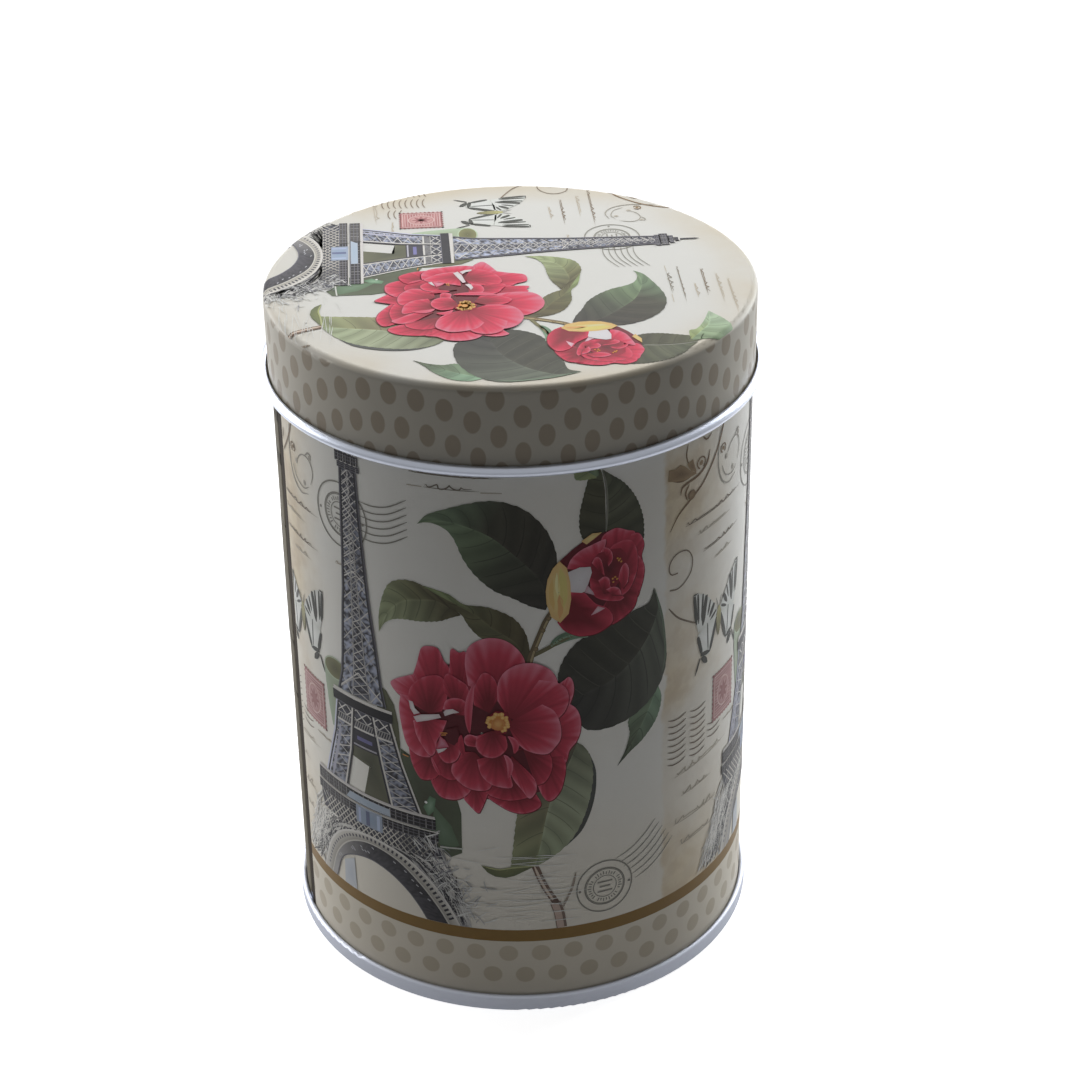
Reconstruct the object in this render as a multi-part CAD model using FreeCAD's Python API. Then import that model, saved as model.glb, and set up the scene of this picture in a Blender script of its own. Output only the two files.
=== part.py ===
import FreeCAD, Part
import math
import os

Vector = FreeCAD.Vector

# Round slip-lid tea caddy of printed tinplate, in millimetres.
# The frame stands on the table: Z is the axis of the tin and points up, z = 0 is the underside of
# the base seam, and the front of the printed picture looks along -Y.
# Three separate pieces of sheet metal make the tin: the rolled wall with its side lock seam, the
# base end that is double-seamed onto it, and the drawn lid that slips over the top.

# ---- driving dimensions -------------------------------------------------------------------

BODY_DIAMETER = 75.0          # outside of the wall
TOTAL_HEIGHT = 112.3          # table to the top of the closed lid
WALL_SHEET = 0.25             # tinplate of the wall and the base end
LID_SHEET = 0.22              # tinplate of the lid
LID_CLEARANCE = 0.15          # between the wall and the lid's skirt, on the radius
LID_DEPTH = 13.9              # top of the lid to the underside of its curl
LID_EDGE_RADIUS = 1.15        # outside rounding between the lid's top and its skirt
LID_CURL_DIAMETER = 1.63      # outside of the hollow curl around the lid's mouth
LID_CURL_TURN = 288.0         # how far round the curl is rolled, degrees
RIM_CURL_DIAMETER = 1.85      # outside of the curl that closes the wall's top edge, inside the tin
RIM_CURL_TURN = 300.0
LID_SEAT_GAP = 0.10           # between the wall's rim and the underside of the lid's top
SEAM_HEIGHT = 2.95            # double seam around the base
SEAM_PLAY = 0.08              # space between the layers of the double seam
SEAM_CORNER = 0.42            # middle radius of the seam's two lower corners
BASE_RECESS = 2.75            # underside of the base panel above the table
LOCK_WIDTH = 3.6              # side lock seam, along the circumference
LOCK_PLAY = 0.07              # space between the layers of the lock seam
LOCK_ANGLE = -163.6           # where the lock seam's groove is, degrees from +X, left of the front
LOCK_NOTCH = 0.45             # the lock stops this far above the base panel and below the rim curl

# ---- sizes worked out from them -----------------------------------------------------------

BODY_RADIUS = BODY_DIAMETER / 2
WALL_MIDDLE = BODY_RADIUS - WALL_SHEET / 2
LID_INNER_RADIUS = BODY_RADIUS + LID_CLEARANCE
LID_MIDDLE = LID_INNER_RADIUS + LID_SHEET / 2
RIM_TOP = TOTAL_HEIGHT - LID_SHEET - LID_SEAT_GAP
RIM_BEND = (RIM_CURL_DIAMETER - WALL_SHEET) / 2
SEAM_PITCH = WALL_SHEET + SEAM_PLAY
SEAM_FOLD_CENTRE = SEAM_HEIGHT - SEAM_PITCH - WALL_SHEET / 2
LOCK_PITCH = WALL_SHEET + LOCK_PLAY
PANEL_TOP = BASE_RECESS + WALL_SHEET
LOCK_BOTTOM = PANEL_TOP + LOCK_NOTCH
LOCK_TOP = RIM_TOP - RIM_CURL_DIAMETER - LOCK_NOTCH


# ---- sheet metal --------------------------------------------------------------------------

class SheetPath:
    """The middle line of a folded sheet, in the plane of radius (x) and height (z)."""

    def __init__(self, radius, height, heading, sheet):
        self.place = Vector(radius, 0, height)
        self.heading = math.radians(heading)
        self.half = sheet / 2
        self.left_side = []
        self.right_side = []

    def forward(self):
        return Vector(math.cos(self.heading), 0, math.sin(self.heading))

    def left(self):
        return Vector(-math.sin(self.heading), 0, math.cos(self.heading))

    def run(self, length):
        """Go straight on."""
        end = self.place + self.forward() * length
        for side, sign in ((self.left_side, 1), (self.right_side, -1)):
            offset = self.left() * (sign * self.half)
            side.append(Part.LineSegment(self.place + offset, end + offset).toShape())
        self.place = end
        return self

    def bend(self, radius, degrees):
        """Turn left (or right, for negative degrees) on the given middle radius."""
        turn = math.radians(degrees)
        sense = math.copysign(1, turn)
        centre = self.place + self.left() * (sense * radius)
        start_heading = self.heading
        for side, sign in ((self.left_side, 1), (self.right_side, -1)):
            reach = radius - sense * sign * self.half
            points = []
            for share in (0, 0.5, 1):
                self.heading = start_heading + turn * share
                points.append(centre - self.left() * (sense * reach))
            side.append(Part.Arc(*points).toShape())
        self.heading = start_heading + turn
        self.place = centre - self.left() * (sense * radius)
        return self

    def section(self):
        """The sheet's closed cross-section."""
        first_cap = Part.LineSegment(self.left_side[0].Vertexes[0].Point,
                                     self.right_side[0].Vertexes[0].Point).toShape()
        last_cap = Part.LineSegment(self.left_side[-1].Vertexes[-1].Point,
                                    self.right_side[-1].Vertexes[-1].Point).toShape()
        edges = self.left_side + self.right_side + [first_cap, last_cap]
        return Part.Face(Part.Wire(Part.__sortEdges__(edges)))

    def revolved(self):
        """The ring or disc that the section sweeps around the tin's axis."""
        return self.section().revolve(Vector(0, 0, 0), Vector(0, 0, 1), 360)





# ---- side lock seam -----------------------------------------------------------------------

def polar(radius, angle):
    return Vector(radius * math.cos(angle), radius * math.sin(angle), 0)


def arc_band(centre, inner, outer, start, end):
    """A flat band between two arcs around centre, from angle start to angle end, in radians."""
    middle = (start + end) / 2
    inside = Part.Arc(*[centre + polar(inner, a) for a in (start, middle, end)]).toShape()
    outside = Part.Arc(*[centre + polar(outer, a) for a in (start, middle, end)]).toShape()
    caps = []
    for angle in (start, end):
        caps.append(Part.LineSegment(centre + polar(inner, angle),
                                     centre + polar(outer, angle)).toShape())
    return Part.Face(Part.Wire(Part.__sortEdges__([inside, outside] + caps)))


def lock_section():
    """The wall seen from above: one sheet whose two edges hook into each other.

    Four layers lie on each other in the lock. Layer 0 is the outside of the wall, layer 3 is the
    innermost. The edge that comes from the front runs in layer 0, folds back and ends in layer 2.
    The edge that comes from behind dips to layer 3, folds back and ends in layer 1.
    """
    axis = Vector(0, 0, 0)
    half = WALL_SHEET / 2
    fold = math.radians(LOCK_ANGLE)
    layer = [WALL_MIDDLE - LOCK_PITCH * number for number in range(4)]
    far = fold + LOCK_WIDTH / BODY_RADIUS
    dip = fold - 3 * LOCK_PITCH / BODY_RADIUS
    short = LOCK_PLAY / BODY_RADIUS

    def along(number, start, end):
        return arc_band(axis, layer[number] - half, layer[number] + half, start, end)

    def turned(centre, radius, start, end):
        return arc_band(centre, radius - half, radius + half, start, end)

    front_fold = polar(layer[1], fold)
    back_fold = polar(layer[2], far)
    dip_centre = polar(layer[1], dip)
    chord = front_fold - dip_centre
    towards_fold = math.atan2(chord.y, chord.x)
    bands = [
        along(0, fold, dip + 2 * math.pi),
        turned(front_fold, LOCK_PITCH, fold - math.pi, fold),
        along(2, fold, far - short),
        turned(dip_centre, LOCK_PITCH, dip, towards_fold),
        turned(front_fold, 2 * LOCK_PITCH, towards_fold - math.pi, fold - math.pi),
        along(3, fold, far),
        turned(back_fold, LOCK_PITCH, far, far + math.pi),
        along(1, fold + short, far),
    ]
    return bands[0].multiFuse(bands[1:]).removeSplitter()


# ---- the three pieces ---------------------------------------------------------------------

def make_body_wall():
    """The rolled wall: rim curl on top, lock seam down the side, hook for the base seam."""
    rim = SheetPath(WALL_MIDDLE, LOCK_TOP, 90, WALL_SHEET)
    rim.run(RIM_TOP - RIM_CURL_DIAMETER / 2 - LOCK_TOP)
    rim.bend(RIM_BEND, RIM_CURL_TURN)

    lock = lock_section().extrude(Vector(0, 0, LOCK_TOP - LOCK_BOTTOM))
    lock.translate(Vector(0, 0, LOCK_BOTTOM))

    turn_centre = WALL_SHEET + SEAM_PLAY + SEAM_PITCH + WALL_SHEET / 2
    hook_end = SEAM_FOLD_CENTRE - WALL_SHEET + SEAM_PLAY / 2
    hook = SheetPath(WALL_MIDDLE, LOCK_BOTTOM, -90, WALL_SHEET)
    hook.run(LOCK_BOTTOM - turn_centre)
    hook.bend(SEAM_PITCH, 180)
    hook.run(hook_end - turn_centre)
    return rim.revolved().fuse([lock, hook.revolved()]).removeSplitter()


def make_base_end():
    """The base: a recessed panel whose edge wraps around the wall's hook."""
    chuck_wall = WALL_MIDDLE - SEAM_PITCH
    seaming_wall = WALL_MIDDLE + 3 * SEAM_PITCH
    panel_bend = 2 * WALL_SHEET
    lowest = WALL_SHEET / 2
    cover_hook_end = 3 * SEAM_PITCH
    end = SheetPath(0, BASE_RECESS + WALL_SHEET / 2, 0, WALL_SHEET)
    end.run(chuck_wall - panel_bend)
    end.bend(panel_bend, -90)
    end.run(BASE_RECESS - panel_bend - SEAM_CORNER)
    end.bend(SEAM_CORNER, 90)
    end.run(seaming_wall - chuck_wall - 2 * SEAM_CORNER)
    end.bend(SEAM_CORNER, 90)
    end.run(SEAM_FOLD_CENTRE - SEAM_CORNER - lowest)
    end.bend(SEAM_PITCH, 180)
    end.run(SEAM_FOLD_CENTRE - cover_hook_end)
    return end.revolved()


def make_lid():
    """The drawn lid: flat top, rounded edge, skirt and the hollow curl rolled outwards."""
    edge_bend = LID_EDGE_RADIUS - LID_SHEET / 2
    curl_bend = (LID_CURL_DIAMETER - LID_SHEET) / 2
    top = TOTAL_HEIGHT - LID_SHEET / 2
    lid = SheetPath(0, top, 0, LID_SHEET)
    lid.run(LID_MIDDLE - edge_bend)
    lid.bend(edge_bend, -90)
    lid.run(LID_DEPTH - LID_EDGE_RADIUS - LID_CURL_DIAMETER / 2)
    lid.bend(curl_bend, LID_CURL_TURN)
    return lid.revolved()


PIECES = {
    "body_wall": make_body_wall,
    "base_end": make_base_end,
    "lid": make_lid,
}

os.makedirs("parts", exist_ok=True)
for name, make in PIECES.items():
    shape = make()
    solids = shape.Solids
    if len(solids) != 1 or not shape.isValid():
        raise ValueError(name + " is not one valid solid")
    box = shape.optimalBoundingBox()
    print("%s: %.1f mm3, radius %.2f, height %.2f to %.2f"
          % (name, shape.Volume, box.XMax, box.ZMin, box.ZMax))
    solids[0].exportStep("parts/" + name + ".step")
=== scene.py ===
import math

import bpy
import numpy as np
from mathutils import Matrix, Vector


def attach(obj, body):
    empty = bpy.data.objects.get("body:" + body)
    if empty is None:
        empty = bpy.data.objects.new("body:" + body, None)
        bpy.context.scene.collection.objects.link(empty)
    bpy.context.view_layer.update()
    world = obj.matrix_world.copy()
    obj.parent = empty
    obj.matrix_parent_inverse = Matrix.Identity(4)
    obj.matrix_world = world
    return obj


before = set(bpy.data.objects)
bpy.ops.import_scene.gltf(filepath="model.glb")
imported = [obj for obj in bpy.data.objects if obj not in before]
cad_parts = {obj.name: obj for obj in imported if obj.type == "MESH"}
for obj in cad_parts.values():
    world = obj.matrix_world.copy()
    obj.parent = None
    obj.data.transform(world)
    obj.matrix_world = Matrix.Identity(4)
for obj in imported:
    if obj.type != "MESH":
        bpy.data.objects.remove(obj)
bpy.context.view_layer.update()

# Printed tinplate tea caddy. The CAD nodes keep their shape and get printed or bare metal finishes.
# The printed picture is thin ink on top of them: flat shapes drawn on an artboard in millimetres
# (u to the right, v up, v = height above the table), laid around the wall three times and across
# the lid. The picture holds no lettering: postmarks, stamps and written lines are plain ornament.

MM = 0.001


# ---- sizes read from the frame ------------------------------------------------------------

def node_points(name):
    """Radius and height of every vertex of a CAD node, in millimetres."""
    points = np.array([v.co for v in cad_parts[name].data.vertices]) / MM
    return np.hypot(points[:, 0], points[:, 1]), points[:, 2]


def radius_between(name, low, high):
    """Largest radius of a node between two heights."""
    radius, height = node_points(name)
    return radius[(height > low) & (height < high)].max()


lid_radius, lid_height = node_points("lid")
LID_TOP = lid_height.max()
LID_FOOT = lid_height.min()
LID_FLAT = lid_radius[lid_height > LID_TOP - 0.01].max()
LID_SKIRT = radius_between("lid", LID_TOP - 2, LID_TOP)
LID_EDGE = LID_SKIRT - LID_FLAT
SHEET = 0.22                  # thickness of the lid's metal
CURL_RADIUS = (lid_radius.max() - LID_SKIRT + SHEET) / 2
CURL_CENTRE = (lid_radius.max() - CURL_RADIUS, LID_FOOT + CURL_RADIUS)
SEAM_TOP = node_points("base_end")[1].max()
WALL_TOP = node_points("body_wall")[1].max()
WALL = radius_between("body_wall", SEAM_TOP + 0.1, WALL_TOP - 2)
PANEL = 2 * math.pi * WALL / 3

# ---- places on the printed wall, in millimetres and degrees -------------------------------

LINE_LOW = 13.5               # the brown line that ends the picture
LINE_HIGH = 15.8
DOT_ROWS = (6.8, 11.1)        # dots in the plain band under the line
DOT_PITCH = 2 * math.pi * WALL / 45
DOT_RADIUS = 1.53
LETTER_LEFT = 23.9            # the aged letter paper has a ragged left edge
LETTER_RIGHT = 40.0           # and a soft right edge
SEAM_GROOVE = -163.6          # side lock seam, degrees from +X
SEAM_BARE = 6.6               # width of the unprinted strip behind its groove
SEAM_PAINTED_SHADE = 2.4               # width of the painted groove shade in front of it
FRONT = -math.pi / 2

INK_LIFT = 0.036              # the lowest ink above the metal
INK_STEP = 0.004              # from one layer of ink to the next

LID_SCALE = np.array([0.94, 0.79])    # the lid's picture against the wall's, across and up
LID_TURN = math.radians(2.9)          # the lid's picture sits slightly turned
LID_CENTRE = np.array([-14.0, 64.9])  # artboard point at the lid's centre
LID_PRINT = LID_FLAT + LID_EDGE
LID_DOT_PITCH = 4.5                   # dots on the lid's skirt
LID_DOT_RADIUS = 1.38
LID_DOT_TURN = math.radians(-28)
LID_DOT_STRETCH = 1.3                 # how much the dots are drawn out down the skirt
LID_DOT_START = LID_TOP - 0.62        # height at which the plain top turns into dots


def srgb(red, green, blue):
    """A linear colour from screen values of 0 to 255."""
    share = np.array([red, green, blue]) / 255
    return np.where(share <= 0.04045, share / 12.92, ((share + 0.055) / 1.055) ** 2.4)


def blend(first, second, share):
    """Colours between two colours; share may have any shape."""
    share = np.clip(np.asarray(share, float), 0, 1)[..., None]
    return first * (1 - share) + second * share


def richer(colours, depth=0.3, bright=1.4):
    """Lighter colours, the dark ones stronger too: the lid's print is fresher than the wall's."""
    grey = (colours @ [0.2126, 0.7152, 0.0722])[:, None]
    strong = 1 + depth * (1 - grey)
    fresh = np.maximum((grey + (colours - grey) * strong) * bright, 0.004)
    return fresh * np.minimum(1, 0.8 / fresh.max(axis=1, keepdims=True))


CREAM = srgb(226, 225, 219)
AGED = srgb(214, 200, 172)
STAIN = srgb(176, 156, 132)
DOT_GROUND = srgb(212, 205, 190)
DOT_INK = srgb(189, 179, 160)
BROWN_LINE = srgb(132, 104, 56)
SEPIA = srgb(124, 112, 98)
FAINT = srgb(176, 167, 152)
PALE = srgb(228, 228, 224)


# ---- ink on the artboard ------------------------------------------------------------------

def bezier(points, t):
    """Points of a Bezier curve; t may have any shape."""
    points = np.asarray(points, float)
    t = np.asarray(t, float)[..., None]
    order = len(points) - 1
    total = 0
    for number, point in enumerate(points):
        total = total + math.comb(order, number) * t ** number * (1 - t) ** (order - number) * point
    return total


def spline(points, step=0.6):
    """A smooth path through given points (Catmull-Rom), resampled evenly."""
    points = np.asarray(points, float)
    ends = np.vstack([2 * points[0] - points[1], points, 2 * points[-1] - points[-2]])
    t = np.linspace(0, 1, 13)[:-1, None]
    path = []
    for a, b, c, d in zip(ends, ends[1:], ends[2:], ends[3:]):
        path.append(0.5 * (2 * b + (c - a) * t + (2 * a - 5 * b + 4 * c - d) * t ** 2
                           + (3 * b - a - 3 * c + d) * t ** 3))
    return resample(np.vstack(path + [points[-1:]]), step)


def resample(path, step=0.6):
    """The same path with evenly spaced points."""
    path = np.asarray(path, float)
    length = np.concatenate([[0], np.cumsum(np.hypot(*np.diff(path, axis=0).T))])
    count = max(2, int(length[-1] / step) + 2)
    places = np.linspace(0, length[-1], count)
    return np.stack([np.interp(places, length, path[:, k]) for k in (0, 1)], axis=1)


class Ink:
    """Coloured shapes on the artboard. Every shape is a grid of points with a colour each."""

    def __init__(self):
        self.points = []
        self.colours = []
        self.layers = []
        self.faces = []
        self.count = 0

    def grid(self, points, colours, layer):
        rows, columns = points.shape[:2]
        index = self.count + np.arange(rows * columns).reshape(rows, columns)
        self.faces.append(np.stack([index[:-1, :-1], index[:-1, 1:], index[1:, 1:], index[1:, :-1]],
                                   axis=-1).reshape(-1, 4))
        self.points.append(points.reshape(-1, 2))
        self.colours.append(np.broadcast_to(colours, (rows, columns, 3)).reshape(-1, 3))
        self.layers.append(np.full(rows * columns, float(layer)))
        self.count += rows * columns

    def stroke(self, path, width, colour, layer, taper=(1.0, 1.0)):
        """A ribbon along a path; taper gives the share of the width left at each end."""
        path = np.asarray(path, float)
        heading = np.gradient(path, axis=0)
        heading /= np.maximum(np.hypot(*heading.T), 1e-9)[:, None]
        normal = np.stack([-heading[:, 1], heading[:, 0]], axis=1)
        t = np.linspace(0, 1, len(path))
        thin = np.minimum(1, np.minimum(taper[0] + 4 * t, taper[1] + 4 * (1 - t)))
        half = (np.asarray(width, float) * thin / 2)[:, None]
        points = np.stack([path + normal * half, path - normal * half], axis=1)
        colour = np.asarray(colour, float)
        if colour.ndim == 2:
            colour = colour[:, None, :]
        self.grid(points, colour, layer)

    def curve(self, points, width, colour, layer, taper=(1.0, 1.0)):
        """A ribbon along a smooth path through given points."""
        self.stroke(spline(points), width, colour, layer, taper)

    def line(self, start, end, width, colour, layer, taper=(1.0, 1.0)):
        self.stroke(resample([start, end], 1.0), width, colour, layer, taper)

    def arc(self, centre, radius, start, end, width, colour, layer):
        """An arc of a circle or ellipse, angles in degrees."""
        radius = np.broadcast_to(radius, 2)
        steps = max(8, int(abs(end - start) / 360 * 2 * math.pi * radius.max() / 0.4))
        angle = np.radians(np.linspace(start, end, steps))
        path = np.array(centre) + np.stack([radius[0] * np.cos(angle), radius[1] * np.sin(angle)], 1)
        self.stroke(path, width, colour, layer)

    def disc(self, centre, radius, colours, layer, steps=16):
        """A filled circle or ellipse, from a centre colour to an edge colour."""
        radius = np.broadcast_to(radius, 2)
        angle = np.linspace(0, 2 * math.pi, steps + 1)
        share = np.linspace(0.02, 1, 4)
        ring = np.stack([radius[0] * np.cos(angle), radius[1] * np.sin(angle)], 1)
        points = np.array(centre) + share[:, None, None] * ring
        self.grid(points, blend(colours[0], colours[1], share)[:, None, :], layer)


class Blade:
    """A leaf-like area: a spine from t = 0 to 1, and a half-width to each side of it.

    base and point shape its two ends: 0.5 is round, 1 is pointed.
    """

    def __init__(self, spine, width, base=0.6, point=0.7, teeth=0):
        self.spine = np.array(spine, float)
        self.width = width
        self.base = base
        self.point = point
        self.teeth = teeth

    def at(self, t, s):
        """Artboard points; s runs from -1 at the right edge to 1 at the left edge."""
        t, s = np.broadcast_arrays(np.clip(np.asarray(t, float), 0, 1), np.asarray(s, float))
        centre = bezier(self.spine, t)
        heading = bezier(np.diff(self.spine, axis=0), t)
        heading /= np.maximum(np.hypot(heading[..., 0], heading[..., 1]), 1e-9)[..., None]
        normal = np.stack([-heading[..., 1], heading[..., 0]], axis=-1)
        widest = self.base / (self.base + self.point)
        full = widest ** self.base * (1 - widest) ** self.point
        half = self.width * t ** self.base * (1 - t) ** self.point / full
        if self.teeth:
            half = half * (1 + 0.05 * (t * self.teeth % 1) * np.abs(s) ** 6)
        return centre + normal * (s * half)[..., None]

    def fill(self, ink, colour, layer, cell=0.5):
        """Inks the blade; colour(t, s) gives a colour for each grid point."""
        length = np.hypot(*np.diff(bezier(self.spine, np.linspace(0, 1, 12)), axis=0).T).sum()
        rows = max(8, int(length / cell), self.teeth * 3)
        columns = max(6, int(2 * self.width / cell)) + 1
        t = 0.5 - 0.5 * np.cos(np.linspace(0, 1, rows) * math.pi)
        s = np.linspace(-1, 1, columns)
        t, s = np.meshgrid(t, s, indexing="ij")
        ink.grid(self.at(t, s), colour(t, s), layer)

    def vein(self, ink, t, s, width, colour, layer):
        """A line drawn in the blade's own coordinates."""
        ink.stroke(resample(self.at(t, s)), width, colour, layer, (1.0, 0.2))


# ---- motifs -------------------------------------------------------------------------------

def leaf(ink, spine, width, dark, light, layer, veins):
    """A small toothed leaf from stalk to tip."""
    blade = Blade(spine, width, base=0.5, point=0.72, teeth=30)

    def colour(t, s):
        ripple = np.cos(2 * math.pi * veins * (1.15 * t - 0.22 * np.abs(s)))
        share = 0.10 + 0.62 * t ** 2.2 + 0.05 * ripple * (1 - t)
        return blend(dark, light, share + 0.13 * (np.abs(s) > 0.93) - 0.06 * np.abs(s))

    blade.fill(ink, colour, layer)
    rib = np.linspace(0.02, 0.97, 24)
    blade.vein(ink, rib, rib * 0, 0.30, blend(dark, light, 0.55), layer + 1)
    path = np.linspace(0, 1, 8)
    for number in range(veins):
        t = 0.08 + 0.78 * number / veins + (0.10 + 0.06 * path) * path * 1.6
        for side in (-1, 1):
            blade.vein(ink, t, side * 0.93 * path ** 0.9, 0.14, blend(dark, light, 0.34), layer + 1)


def direction(angle):
    """A step of length 1 in a direction given in radians."""
    return np.array([math.cos(angle), math.sin(angle)])


def three_tone(tones, share):
    """From a deep through a middle to a pale colour."""
    deep, middle, pale = tones
    share = np.clip(share, 0, 1)
    return np.where(share[..., None] < 0.5, blend(deep, middle, share * 2),
                    blend(middle, pale, share * 2 - 1))


def petal(ink, random, layer, root, rim, light, streaks=9):
    """A petal spread from its root to a smooth rim through given points, pale at the rim."""
    rim = spline(rim, 0.42)
    share = np.linspace(0.02, 1, max(6, int(np.hypot(*(rim - root).T).max() / 0.42)))[:, None]
    across = np.linspace(0, 1, len(rim))[None, :]
    points = np.array(root) + share[..., None] * (rim - root)
    phase = random.uniform(0, 2 * math.pi, 3)
    streak = sum(np.cos(streaks * (1 + 0.7 * k) * across * math.pi + phase[k]) for k in range(3)) / 3
    side = 0.10 * np.cos(math.pi * across * random.uniform(0.7, 1.3) + phase[0])
    tone = 0.62 * share ** 1.6 + light + 0.17 * streak * share + side * share
    tone = tone + 0.10 * np.clip((share - 0.93) / 0.07, 0, 1)
    ink.grid(points + [0.10, -0.16], CRIMSON[0] * 0.8, layer)
    ink.grid(points, three_tone(CRIMSON, tone), layer + 1)


def patch(ink, layer, outline, inner, outer):
    """A flat area inside a given closed outline, from one colour at its middle to another."""
    outline = np.array(list(outline) + [outline[0]], float)
    rim = np.vstack([resample(pair, 0.6) for pair in zip(outline, outline[1:])])
    middle = rim.mean(axis=0)
    share = np.linspace(0.02, 1, max(4, int(np.hypot(*(rim - middle).T).max() / 0.8)))[:, None]
    points = middle + share[..., None] * (rim - middle)
    ink.grid(points, blend(inner, outer, share * np.ones(len(rim))), layer)


CRIMSON = (srgb(112, 26, 38), srgb(186, 62, 82), srgb(224, 142, 160))
WINE = (srgb(84, 18, 28), srgb(148, 38, 54), srgb(206, 110, 126))


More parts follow.
